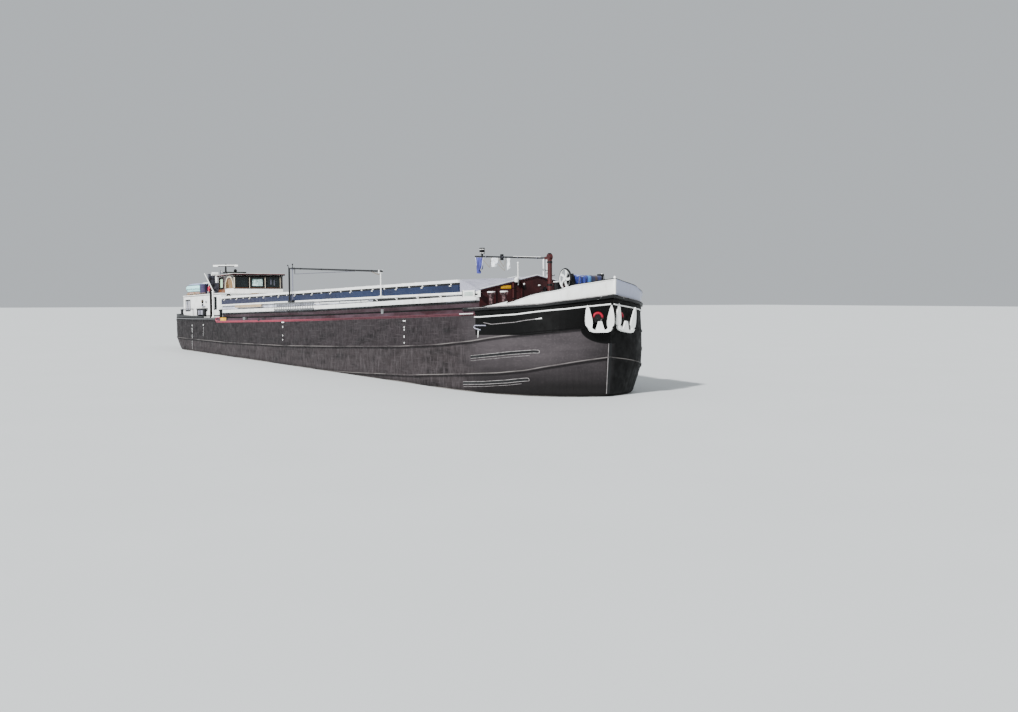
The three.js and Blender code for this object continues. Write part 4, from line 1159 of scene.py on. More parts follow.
class ItemTree:
    """Geometry nodes that set copies of an item on points and end in one plain mesh."""

    title = "items"
    kinds: dict[str, str] = {}

    def __init__(self) -> None:
        """Build the tree once, with its named inputs."""
        self.tree = bpy.data.node_groups.new(self.title, "GeometryNodeTree")
        face = self.tree.interface
        kinds = {"Item": "NodeSocketObject", "Finish": "NodeSocketMaterial", **self.kinds}
        self.keys = {
            name: face.new_socket(name=name, in_out="INPUT", socket_type=kind).identifier
            for name, kind in kinds.items()
        }
        face.new_socket(name="Geometry", in_out="OUTPUT", socket_type="NodeSocketGeometry")
        self.given = self.node("NodeGroupInput").outputs
        points, turn = self.points()
        item = self.node("GeometryNodeObjectInfo", {"Object": self.given["Item"]}).outputs["Geometry"]
        inputs = {"Points": points, "Instance": item, "Rotation": turn}
        copies = self.node("GeometryNodeInstanceOnPoints", inputs)
        whole = self.node("GeometryNodeRealizeInstances", {0: copies.outputs[0]})
        finish = self.given["Finish"]
        painted = self.node("GeometryNodeSetMaterial", {"Geometry": whole.outputs[0], "Material": finish})
        self.node("NodeGroupOutput", {0: painted.outputs[0]})

    def node(self, kind: str, inputs: dict | None = None, **settings: object) -> bpy.types.Node:
        """Add a node to this tree."""
        return add_node(self.tree, kind, inputs, **settings)

    def points(self) -> tuple[Socket, Socket]:
        """Make the points and the turn of the item on each."""
        raise NotImplementedError

    def grow(self, name: str, item: Shape, values: dict[str, object], body: str) -> None:
        """Run the tree and keep its result as a plain mesh on a body.

        Args:
            name: The new piece's name.
            item: The item that is copied.
            values: The tree's own inputs by name.
            body: The body that the piece rides on.
        """
        finish = item.finishes[0]
        source = link_object(name + "_item", item.mesh(name + "_item"))
        made = link_object(name, bpy.data.meshes.new(name))
        modifier = made.modifiers.new("grow", "NODES")
        modifier.node_group = self.tree
        for key, value in {"Item": source, "Finish": finish.material(), **values}.items():
            modifier[self.keys[key]] = value
        shown = made.evaluated_get(bpy.context.evaluated_depsgraph_get())
        mesh = bpy.data.meshes.new_from_object(shown)
        made.modifiers.remove(modifier)
        made.data = soften(mesh)
        bpy.data.objects.remove(source)
        set_in_place(made, body)


class RowTree(ItemTree):
    """Copies in a straight row, each turned a little at random."""

    title = "row_of_items"
    kinds = {
        "Count": "NodeSocketInt", "First": "NodeSocketVector", "Step": "NodeSocketVector",
        "Wobble": "NodeSocketFloat", "Seed": "NodeSocketInt",
    }

    def points(self) -> tuple[Socket, Socket]:
        """Make the row's points.

        Returns:
            The points and their turns.
        """
        given = self.given
        inputs = {"Count": given["Count"], "Start Location": given["First"], "Offset": given["Step"]}
        line = self.node("GeometryNodeMeshLine", inputs, mode="OFFSET")
        least = self.node("ShaderNodeMath", {0: given["Wobble"], 1: -1.0}, operation="MULTIPLY").outputs[0]
        inputs = {"Min": least, "Max": given["Wobble"], "Seed": given["Seed"]}
        turn = self.node("FunctionNodeRandomValue", inputs, data_type="FLOAT_VECTOR")
        return line.outputs[0], turn.outputs[0]


class PathTree(ItemTree):
    """Copies at equal steps along a path, each in line with it."""

    title = "items_along_path"
    kinds = {"Path": "NodeSocketObject", "Step": "NodeSocketFloat"}

    def points(self) -> tuple[Socket, Socket]:
        """Make the points along the path.

        Returns:
            The points and their turns.
        """
        path = self.node("GeometryNodeObjectInfo", {"Object": self.given["Path"]}).outputs["Geometry"]
        curve = self.node("GeometryNodeMeshToCurve", {0: path}).outputs[0]
        inputs = {"Curve": curve, "Length": self.given["Step"]}
        spaced = self.node("GeometryNodeResampleCurve", inputs, mode="LENGTH")
        way = self.node("GeometryNodeInputTangent").outputs[0]
        turn = self.node("FunctionNodeAlignRotationToVector", {"Vector": way}, axis="X")
        return spaced.outputs[0], turn.outputs[0]


@cache
def shared(kind: type[ItemTree]) -> ItemTree:
    """The one tree of a kind, built on first use."""
    return kind()


@dataclass
class Row:
    """A row of equal items along the ship's side or deck."""

    name: str
    item: Shape
    count: int
    first: Point
    step: Point
    body: str = "hull"
    wobble: float = 0.0
    seed: int = 7

    def build(self) -> None:
        """Make the row as one piece."""
        values = {name: getattr(self, name.lower()) for name in RowTree.kinds}
        shared(RowTree).grow(self.name, self.item, values, self.body)


@dataclass
class Run:
    """Equal items that follow a path."""

    name: str
    item: Shape
    path: Sequence[Point]
    step: float
    body: str = "hull"

    def build(self) -> None:
        """Make the run as one piece."""
        mesh = bpy.data.meshes.new(self.name + "_path")
        mesh.from_pydata([tuple(p) for p in self.path], [(i, i + 1) for i in range(len(self.path) - 1)], [])
        route = link_object(self.name + "_path", mesh)
        shared(PathTree).grow(self.name, self.item, {"Path": route, "Step": self.step}, self.body)
        bpy.data.objects.remove(route)


class Surface:
    """Finds points on the outside of some of the model's nodes."""

    def __init__(self, nodes: Sequence[str]) -> None:
        """Read the nodes.

        Args:
            nodes: Their names.
        """
        points: list[Vector] = []
        faces: list[tuple[int, ...]] = []
        for node in nodes:
            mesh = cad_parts[node].data
            base = len(points)
            points.extend(v.co.copy() for v in mesh.vertices)
            faces.extend(tuple(i + base for i in p.vertices) for p in mesh.polygons)
        self.tree = BVHTree.FromPolygons(points, faces)

    def side(self, x: float, z: float) -> tuple[Vector, Vector]:
        """A point on the starboard side and the outward normal there."""
        place, normal, _, _ = self.tree.ray_cast(Vector((x, -6.0, z)), Vector((0.0, 1.0, 0.0)))
        return place, normal

    def reach(self, x: float, z: float) -> float:
        """How far to starboard the side lies, as a place across the ship."""
        return self.side(x, z)[0].y

    def ahead(self, y: float, z: float) -> tuple[Vector, Vector]:
        """A point on the bow and the outward normal there."""
        place, normal, _, _ = self.tree.ray_cast(Vector((30.0, y, z)), Vector((-1.0, 0.0, 0.0)))
        return place, normal

    def bow(self, bearing: float, z: float) -> tuple[Vector, Vector]:
        """A point round the bow.

        Args:
            bearing: Degrees from dead ahead, positive to port, seen from a point inside the bow.
            z: The height.

        Returns:
            The point and the outward normal there.
        """
        angle = math.radians(bearing)
        way = Vector((math.cos(angle), math.sin(angle), 0.0))
        start = BOW_CENTRE + way * 9.0 + Vector((0.0, 0.0, z))
        place, normal, _, _ = self.tree.ray_cast(start, -way)
        return place, normal

    def round_bow(self, side: float, table: Table, first: float, last: float, out: float) -> list[Vector]:
        """Points round the bow at the heights of a table, from a bearing to another.

        Args:
            side: -1 to starboard, 1 to port.
            table: Height by place along the ship.
            first: The first bearing, in degrees.
            last: The last bearing, in degrees.
            out: How far the points stand proud.

        Returns:
            The points.
        """
        made = []
        place = Vector((15.8, 0.0, 0.0))
        for step in range(33):
            bearing = side * (first + (last - first) * step / 32)
            for _ in range(3):
                place, normal = self.bow(bearing, read_table(table, place.x))
            made.append(place + normal * out)
        return made


# Sub-assemblies


@dataclass
class Window:
    """A framed window in a wall, given by its ends along the wall and its heights."""

    start: float
    end: float
    low: float
    high: float

    def frame(self, shape: Shape, wall: float, out: float, axis: Axis, finish: Finish, bar: float) -> None:
        """Add the frame's four bars round the opening.

        Args:
            shape: The shape that takes the bars.
            wall: The wall's outer face, across the wall.
            out: How far the bars stand out, with the side's sign.
            axis: Axis.Y for a side wall, Axis.X for an end wall.
            finish: The bars' finish.
            bar: The bars' width.
        """
        near, far = sorted((wall, wall + out))
        spans = (
            (self.start - bar, self.end + bar, self.high, self.high + bar),
            (self.start - bar, self.end + bar, self.low - bar, self.low),
            (self.start - bar, self.start, self.low, self.high),
            (self.end, self.end + bar, self.low, self.high),
        )
        for u0, u1, z0, z1 in spans:
            low, high = ((u0, near, z0), (u1, far, z1)) if axis is Axis.Y else ((near, u0, z0), (far, u1, z1))
            shape.box(low, high, finish, 0.008)


@dataclass
class HatchCovers:
    """The five groups of hatch covers: joint ribs over the top, lugs in the recess and lifting handles."""

    sections: int = 5
    covers_each: int = 5
    half: float = 2.015
    edge: float = 3.53
    crown: float = 0.06

    def camber(self, y: float) -> float:
        """Height of the covers' top at a distance from the middle line."""
        return self.edge + self.crown * (1.0 - (y / 1.93) ** 2) if abs(y) < 1.93 else self.edge

    def rib(self) -> Shape:
        """A low capping strip that follows the camber.

        Returns:
            The strip at the frame's middle.
        """
        steps = [self.half * (i / 8 - 1.0) for i in range(17)]
        upper = [(y, self.camber(y) + 0.012) for y in steps]
        lower = [(y, self.camber(y) - 0.002) for y in reversed(steps)]
        return Shape().slab(upper + lower, -0.03, 0.03, Axis.X, WHITE)

    def lug(self) -> Shape:
        """A pale lug in the dark recess, on both sides."""
        return Shape().box((-0.022, -1.995, 3.381), (0.022, -1.96, 3.44), WHITE).mirrored()

    def handle(self) -> Shape:
        """A white lifting loop under the recess, on both sides.

        Returns:
            The loops at the frame's middle.
        """
        bow = [(-0.045, 0.0), (-0.04, 0.022), (0.04, 0.022), (0.045, 0.0)]
        path = [(u, -self.half + 0.012 - out, 3.35) for u, out in bow]
        shape = Shape().tube(path, 0.01, WHITE, 8)
        shape.box((-0.022, -self.half - 0.01, 3.332), (0.022, -self.half + 0.004, 3.368), WHITE)
        return shape.mirrored()

    def build(self) -> None:
        """Build the strips and fittings of every group."""
        for number in range(1, self.sections + 1):
            low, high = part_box(f"hatch_{number}")
            pitch = (high[0] - low[0]) / self.covers_each
            even = number % 2 == 0
            for name, item, count, first, step in (
                ("ribs", self.rib(), self.covers_each - 1, 1.0, 1.0),
                ("lugs", self.lug(), self.covers_each, 0.5, 1.0),
                ("handles", self.handle(), 2 if even else 3, 1.5 if even else 0.5, 2.0),
            ):
                start, apart = (low[0] + first * pitch, 0.0, 0.0), (step * pitch, 0.0, 0.0)
                Row(f"cover_{name}_{number}", item, count, start, apart, f"hatch_{number}_body").build()


@dataclass
class Coamings:
    """What hangs and stands on the coaming sides: brackets, ladder, plank, pole and fore ends."""

    face: float = 1.95
    flange: float = 2.055
    hang: float = 2.0625
    ladder_ends: tuple[float, float] = (-2.5, 2.2)
    plank_ends: tuple[float, float] = (-7.98, -4.2)
    pole_ends: tuple[float, float] = (2.32, 7.5)

    def bracket(self) -> Shape:
        """A three-cornered web between the recess and the flange, on both sides.

        Returns:
            The webs at the frame's middle.
        """
        edge = -self.flange + 0.01
        outline = [(-self.face, 3.088), (edge, 3.088), (edge, 3.07), (-self.face, 2.985)]
        return Shape().slab(outline, -0.006, 0.006, Axis.X, WHITE).mirrored()

    def ladder(self) -> None:
        """The ladder stowed along the starboard coaming."""
        out = -self.hang - 0.015
        aft, fore = self.ladder_ends
        rails = Shape()
        for z in (2.815, 3.072):
            rails.box((aft, out - 0.013, z - 0.028), (fore, out + 0.013, z + 0.028), STEEL, 0.006)
        rails.piece("stowed_ladder_rails")
        rung = Shape().tube([(0.0, out, 2.84), (0.0, out, 3.05)], 0.014, STEEL, 8)
        Row("stowed_ladder_rungs", rung, 17, (-2.4, 0.0, 0.0), (0.28, 0.0, 0.0)).build()

    def plank(self) -> None:
        """The gang plank on two hooks below the flange."""
        out = -self.hang
        aft, fore = self.plank_ends
        shape = Shape().box((aft, out - 0.028, 2.97), (fore, out, 3.085), BOARDS, 0.006)
        hook = ((-self.flange + 0.02, 3.084), (out - 0.036, 3.09), (out - 0.036, 2.958), (out + 0.01, 2.958))
        for x in (-7.2, -5.0):
            shape.tube([(x, y, z) for y, z in hook], 0.006, STEEL, 8)
        shape.piece("stowed_plank", slot="wood")

    def pole(self) -> None:
        """The white pole on brackets forward of the ladder."""
        y, z = -self.hang - 0.022, 3.01
        shape = Shape().tube([(x, y, z) for x in self.pole_ends], 0.02, WHITE, 12)
        ring = [(0.021, -0.02), (0.028, -0.015), (0.028, 0.015), (0.021, 0.02)]
        for x in (2.9, 4.9, 6.9):
            shape.turned(ring, (x, y, z), Axis.X, DARK, 12)
            shape.box((x - 0.012, y, z - 0.008), (x + 0.012, -self.face, z + 0.008), DARK, 0.002)
        shape.piece("stowed_pole")

    def fore_ends(self) -> None:
        """Posts, inset panel and plate at the fore end of each coaming, with black strips beside the posts
        and the plate painted as shadow gaps.
        """
        out = -self.flange
        ends = Shape()
        # The black strips beside the white posts, and the one beside the plate, are painted shadow gaps.
        for x, low, high, finish in (
            (14.47, 3.0, 3.21, WHITE), (14.43, 3.0, 3.18, BLACK),
            (15.16, 3.0, 3.2, WHITE), (15.205, 2.99, 3.18, BLACK),
        ):
            ends.box((x - 0.018, out - 0.012, low), (x + 0.018, out, high), finish, 0.003)
        ends.box((14.5, out - 0.008, 3.0), (15.13, out, 3.19), WHITE, 0.003)
        ends.box((14.55, out - 0.011, 3.03), (15.08, out - 0.008, 3.15), PANEL_GREEN, 0.001)
        ends.box((15.24, out + 0.06, 2.99), (15.4, out + 0.075, 3.18), WHITE, 0.003)
        ends.box((15.24, out + 0.075, 3.0), (15.262, -1.93, 3.17), WHITE, 0.003)
        ends.box((15.4, out + 0.06, 2.98), (15.425, out + 0.075, 3.19), BLACK, 0.002)
        ends.mirrored().piece("coaming_fore_ends", slot="white_paint")

    def build(self) -> None:
        """Build all of it."""
        Row("coaming_brackets", self.bracket(), 4, (8.0, 0.0, 0.0), (1.62, 0.0, 0.0)).build()
        self.ladder()
        self.plank()
        self.pole()
        self.fore_ends()


@dataclass
class SheerMarks:
    """Small things on the hull's side: draught marks, plates, a freeing port and a hoop."""

    hull: Surface
    port: tuple[float, float] = (-3.19, 2.4)
    # Draught marks as place along the ship, length, lowest and highest edge
    draught: tuple[tuple[float, float, float, float], ...] = (
        (11.31, 0.2, 2.3, 2.33), (11.3, 0.05, 2.09, 2.14), (11.3, 0.05, 2.01, 2.06),
        (11.29, 0.05, 1.78, 1.85), (11.29, 0.05, 1.6, 1.64), (-0.2, 0.3, 2.27, 2.31),
        (-0.21, 0.06, 2.07, 2.14), (-0.23, 0.06, 1.73, 1.79), (-0.24, 0.06, 1.56, 1.61),
        (-13.92, 0.06, 2.12, 2.2), (-13.93, 0.035, 1.8, 2.04), (-13.95, 0.03, 1.45, 1.7),
        (-13.98, 0.008, 0.95, 1.4), (-11.86, 0.09, 2.15, 2.22), (-11.87, 0.008, 1.64, 2.1),
    )
    # Plates as place along the ship, length, height under the deck at the lower and upper edge, and finish
    plates: tuple[tuple[float, float, float, float, Finish], ...] = (
        (-5.25, 0.3, 0.2, 0.01, STEEL), (-4.9, 0.28, 0.2, 0.01, DARK), (9.65, 0.17, 0.08, -0.08, STEEL),
        # The dark plate at -7.86, just forward of the yellow one, is a painted shadow.
        (-8.42, 0.92, 0.15, 0.01, YELLOW), (-7.86, 0.2, 0.15, 0.01, DARK), (-2.6, 0.5, 0.15, 0.08, DARK),
    )

    def build(self) -> None:
        """Build the marks and plates."""
        marks = Shape()
        for x, length, low, high in self.draught:
            face = self.hull.reach(x, (low + high) / 2)
            marks.box((x - length / 2, face - 0.003, low), (x + length / 2, face + 0.01, high), WHITE, 0.001)
        marks.piece("draught_marks")
        plates = Shape()
        for x, length, low, high, finish in self.plates:
            deck, half = deck_height(x), length / 2
            face = self.hull.reach(x, deck - 0.12)
            corners = (x - half, face - 0.008, deck - low), (x + half, face + 0.01, deck - high)
            plates.box(*corners, finish, 0.003)
        plates.piece("side_plates", slot="dark_paint")
        x, z = self.port
        face = self.hull.reach(x, z + 0.007)
        port = arc(self.port, 0.14, 0.055, 0.0, 342.0, 19)
        Shape().slab(port, face - 0.004, face + 0.01, Axis.Y, BLACK).piece("freeing_port")
        curl = (
            (-8.95, 2.5), (-9.15, 2.53), (-9.45, 2.53), (-9.62, 2.47),
            (-9.58, 2.4), (-9.35, 2.37), (-9.2, 2.4),
        )
        hoop = [(x, self.hull.reach(x, min(z, 2.49)) - 0.012, z) for x, z in curl]
        Shape().tube(hoop, 0.024, SALMON, 8).piece("side_hoop")


@dataclass
class Gable:
    """The fore coaming's face and the small gear on it and on the sloping apron behind it."""

    peak: float = 3.61
    slope: float = 0.22
    half: float = 1.952
    face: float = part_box("coaming_fore")[1][0]
    foot: float = deck_height(face) + 0.001
    pipe_y: float = -0.84
    post_y: float = -0.68
    lamp_y: float = -0.76
    fitting_y: float = -0.46

    def height(self, y: float) -> float:
        """Height of the gable's edge at a distance from the middle line."""
        return self.peak - self.slope * abs(y)

    def trim(self) -> None:
        """Edge beads, stiffeners and foot of the face, and the apron's edging."""
        face, foot, trim = self.face, self.foot, Shape()
        for side in (-1.0, 1.0):
            low, high = self.height(self.half) - 0.02, self.peak - 0.02
            trim.tube([(face + 0.012, 0.0, high), (face + 0.012, side * self.half, low)], 0.012, GABLE, 8)
            for y in (0.55, 1.45):
                top = self.height(y) - 0.04
                trim.box((face, side * y - 0.005, foot), (face + 0.05, side * y + 0.005, top), GABLE, 0.002)
        trim.box((face, -self.half, foot), (face + 0.045, self.half, foot + 0.045), GABLE)
        trim.piece("gable_trim")
        edge = Shape()
        for side in (-1.0, 1.0):
            for x in (14.07, 15.29):
                edge.tube([(x, side * 1.93, 3.225), (x, 0.0, 3.652)], 0.009, WHITE, 8)
        edge.piece("apron_edging")

    def pipe_and_post(self) -> None:
        """The brown pipe, the blank plate and the white post on the face."""
        face, y = self.face, self.pipe_y
        pipe = Shape().tube([(face + 0.035, y, z) for z in (self.foot, 3.4)], 0.028, MAST_BROWN, 12)
        for z in (2.95, 3.25):
            pipe.box((face, y - 0.04, z - 0.01), (face + 0.07, y + 0.04, z + 0.01), DARK, 0.003)
        pipe.piece("gable_pipe")
        plate = Shape().box((face, -1.24, 3.235), (face + 0.006, -0.9, 3.33), YELLOW, 0.001)
        plate.piece("gable_blank_plate")
        y = self.post_y
        post = Shape().tube([(face + 0.045, y, z) for z in (3.34, 3.98)], 0.018, WHITE)
        knob = [(0.0, 0.0), (0.03, 0.005), (0.03, 0.03), (0.012, 0.045), (0.0, 0.05)]
        post.turned(knob, (face + 0.045, y, 3.975), Axis.Z, WHITE, 14)
        for z in (3.36, 3.43):
            post.box((face, y - 0.03, z), (face + 0.06, y + 0.03, z + 0.025), DARK, 0.003)
        post.piece("gable_post")

    def lamps(self) -> None:
        """The lamp beside the post and the small domed fitting."""
        face, y = self.face, self.lamp_y
        lamp_profile = [(0.05, 0.0), (0.062, 0.01), (0.062, 0.11), (0.05, 0.125), (0.02, 0.15), (0.0, 0.155)]
        lamp = Shape().turned(lamp_profile, (face + 0.09, y, 3.42), Axis.Z, WHITE, 18)
        lamp.box((face, y - 0.03, 3.40), (face + 0.12, y + 0.03, 3.422), DARK, 0.003)
        lamp.piece("gable_lamp")
        dome = [(0.0, 0.0), (0.028, 0.004), (0.03, 0.03), (0.0, 0.045)]
        y = self.fitting_y
        small = Shape().turned(dome, (face, y, 3.37), Axis.X, WHITE)
        small.box((face, y - 0.03, 3.24), (face + 0.035, y + 0.03, 3.34), DARK, 0.006)
        small.piece("gable_fitting", slot="white_paint")

    def apron(self) -> None:
        """The bent vent pipe and the rows of studs on the apron."""
        bend = arc((0.533, 4.1), 0.067, 0.067, 180.0, 0.0, 10)
        loop = [(14.9, 0.466, 3.53), *[(14.9, y, z) for y, z in bend], (14.9, 0.6, 3.5)]
        Shape().tube(loop, 0.02, WHITE, 12).piece("apron_vent_pipe")
        profile = [(0.02, -0.002), (0.02, 0.008), (0.008, 0.018), (0.0, 0.02)]
        stud = Shape().turned(profile, (0.0, 0.0, 0.0), Axis.Z, STEEL, 12)
        for number, side in enumerate((-1.0, 1.0)):
            first = (14.3, side * 1.35, 3.352)
            Row(f"apron_studs_{number + 1}", stud, 3, first, (0.4, 0.0, 0.0)).build()

    def build(self) -> None:
        """Build the gable's fittings."""
        self.trim()
        self.pipe_and_post()
        self.lamps()
        self.apron()


@dataclass
class BowDress:
    """What is fixed to the bow's outside: lines, hawse rings, bars, stem bar, fittings and rail bolts."""

    hull: Surface
    line: Table = ((15.8, 2.412), (16.1, 2.41), (17.5, 2.47), (18.6, 2.6), (19.2, 2.74))
    line_radius: float = 0.019
    hawse: tuple[float, float] = (0.36, 2.36)
    hawse_radius: float = 0.125
    upper_bar: Table = ((15.63, 1.272), (16.74, 1.36), (17.3, 1.413), (18.0, 1.465), (18.1, 1.46))
    lower_bar: Table = ((15.18, 0.513), (16.18, 0.56), (17.09, 0.63), (17.62, 0.693), (17.74, 0.70))
    bar_half: float = 0.04
    post_top: float = 3.45
    tip_ends: tuple[float, float] = (16.15, 17.22)
    strip: Table = ((16.255, 2.252), (16.602, 2.203), (17.447, 2.255), (17.724, 2.299), (18.18, 2.356))
    hook: Table = ((16.357, 2.17), (15.844, 2.171), (15.8, 2.13), (15.844, 2.092), (16.123, 2.044))

    def on_side(self, table: Table, out: float, lift: float = 0.0) -> list[Vector]:
        """Points at a table's rows, standing proud of the starboard side and lying over the table."""
        places = [self.hull.side(x, z + lift) for x, z in table]
        return [place + normal * out for place, normal in places]

    def bars(self) -> None:
        """The raised bars low on the bow, with their worn edges."""
        bars, edges = Shape(), Shape()
        corners = ((-0.004, -1.0), (0.014, -0.75), (0.014, 0.75), (-0.004, 1.0))
        for table in (self.upper_bar, self.lower_bar):
            fine = refined(table)
            lines = [self.on_side(fine, out, lift * self.bar_half) for out, lift in corners]
            bars.ribbon([list(section) for section in zip(*lines)], BLACK)
            rim = [(x, z + self.bar_half) for x, z in fine]
            rim += arc(fine[-1], self.bar_half, self.bar_half, 70.0, -70.0, 7)
            rim += [(x, z - self.bar_half) for x, z in reversed(fine)]
            edges.tube(self.on_side(rim, 0.008), 0.01, EDGE_GREY, 6)
            edges.tube(self.on_side(fine[:-2], 0.004, -2.6 * self.bar_half), 0.006, EDGE_GREY, 6)
        bars.mirrored().piece("bow_bars")
        edges.mirrored().piece("bow_bar_edges")

    def stem(self) -> None:
        """The flat bar down the stem, with a painted highlight along its starboard edge, and the white post
        on top of it.
        """
        heights = [1.66 - 1.36 * i / 16 for i in range(17)]
        fronts = [self.hull.ahead(0.0, z)[0].x for z in heights]
        corners = ((-0.04, -0.055), (0.018, -0.05), (0.018, 0.05), (-0.04, 0.055))
        sections = [[(x + out, y, z) for out, y in corners] for x, z in zip(fronts, heights)]
        bar = Shape().ribbon(sections, BLACK)
        # The light line on the starboard edge is a painted highlight.
        bar.tube([(x + 0.012, -0.053, z) for x, z in zip(fronts, heights)], 0.01, EDGE_GREY, 6)
        bar.piece("stem_bar")
        top = self.post_top
        path = [(19.238, 0.0, z) for z in (2.99, top - 0.04, top, top + 0.02)]
        Shape().tube(path, [0.034, 0.034, 0.03, 0.014], WHITE, 16).piece("stem_post")

    def small_gear(self) -> None:
        """Strip, hook and short white lines on the black field."""
        fine = refined(self.strip)
        strip = Shape().tube(self.on_side(fine, 0.006), 0.009, EDGE_GREY, 8)
        strip.tube(self.on_side(fine[-3:], 0.008), [0.006, 0.014, 0.02], WHITE, 8)
        strip.tube(self.on_side(self.hook, 0.008), 0.014, GREY, 8)
        strip.tube(self.on_side(((16.012, 2.03), (15.987, 1.832)), 0.004), [0.018, 0.006], WHITE, 8)
        strip.piece("bow_strip")
        lines = Shape().tube(self.on_side(((15.15, 2.5), (15.85, 2.51)), 0.05), 0.012, WHITE, 8)
        for y0, y1 in ((-0.4, -0.31), (0.47, 0.44)):
            low, high = self.hull.ahead(y0, 2.84)[0], self.hull.ahead(y1, 2.84)[0]
            lines.tube([(low.x + 0.055, y0, 2.84), (high.x + 0.06, y1, 2.93)], 0.008, WHITE, 8)
        lines.piece("bow_short_lines")

    def bulwark_tips(self) -> None:
        """The white plates that carry each bulwark down to the rail aft of it."""
        start, end = self.tip_ends
        side = Surface(("bulwark_fore",)).reach(end, deck_height(end) + 0.05)
        sections = []
        for step in range(9):
            x = start + (end - start) * step / 8
            y = side - 0.17 * (end - x)
            foot = deck_height(x)
            head = foot + 0.012 + 0.105 * (step / 8) ** 1.2
            sections.append([(x, y, foot), (x, y, head), (x, y + 0.012, head), (x, y + 0.012, foot)])
        # The port tip takes the bulwark's painted port shade.
        Shape().ribbon(sections, BULWARK_WITH_PORT_SHADE).mirrored().piece("bulwark_tips")
        edge = [section[1] for section in sections]
        Shape().tube(edge, 0.012, BLACK, 8).mirrored().piece("bulwark_tip_edges")

    def cap_shadow_line(self) -> None:
        """A black line painted as shadow on the bulwark's upper edge, through its highest corners."""
        corners: dict[int, list[Vector]] = {}
        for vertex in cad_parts["bulwark_fore"].data.vertices:
            bearing = math.degrees(math.atan2(vertex.co.y, vertex.co.x - BOW_CENTRE.x))
            corners.setdefault(round(bearing / 3), []).append(vertex.co.copy())
        path = [max(corners[key], key=lambda p: (round(p.z, 3), p.xy.length)) for key in sorted(corners)]
        drop = Vector((0.0, 0.0, 0.01))
        Shape().tube([p - drop for p in path], 0.014, BLACK, 8).piece("bulwark_cap_line")

    def hawse_ring(self, side: float) -> Shape:
        """A hawse ring, near-black below as painted shade, and a black disc across its mouth as painted shade
        inside the pipe.

        Args:
            side: -1 to starboard, 1 to port.

        Returns:
            The shape.
        """
        place, normal = self.hull.ahead(side * self.hawse[0], self.hawse[1])
        across = normal.cross(Vector((0.0, 0.0, 1.0))).normalized()
        up = across.cross(normal)
        centre = place + normal * 0.012
        ways = [across * c + up * s for c, s in circle(28)]
        ring = Shape().tube([centre + way * self.hawse_radius for way in ways], 0.032, HAWSE_WITH_SHADE, closed=True)
        # The black disc across the mouth is painted shade inside the hawse pipe.
        mouth = [centre + way * (self.hawse_radius - 0.012) for way in ways]
        return ring.add([*mouth, centre - normal * 0.005], [(i, (i + 1) % 28, 28) for i in range(28)], BLACK)

    def white_line(self) -> None:
        """The white line along the foot of the black field."""
        line = Shape()
        for side in (-1.0, 1.0):
            line.tube(self.hull.round_bow(side, self.line, 61.0, 0.6, 0.01), self.line_radius, WHITE, 8)
        line.piece("bow_white_line")

    def rail(self) -> None:
        """Hawse rings, and the bow rail's bolts and bead."""
        rail = Surface(("rub_rail_fore",))
        middle = tuple((x, z - 0.035) for x, z in DECK)
        profile = [(0.0, -0.008), (0.017, -0.006), (0.017, 0.004), (0.009, 0.011), (0.0, 0.012)]
        bolt = Shape().turned(profile, (0.0, 0.0, 0.0), Axis.Y, BLACK, 10)
        for name, side in (("starboard", -1.0), ("port", 1.0)):
            self.hawse_ring(side).piece(f"hawse_ring_{name}")
            path = rail.round_bow(side, middle, 66.0, 2.0, 0.001)
            Run(f"rub_rail_bolts_{name}", bolt, path, 0.28).build()
            bead = Shape().tube([p + Vector((0.0, 0.0, 0.012)) for p in path], 0.008, EDGE_GREY, 6)
            bead.piece(f"rub_rail_bead_{name}")

    def build(self) -> None:
        """Build the bow's fittings."""
        self.white_line()
        self.rail()
        self.bars()
        self.stem()
        self.small_gear()
        self.bulwark_tips()
        self.cap_shadow_line()


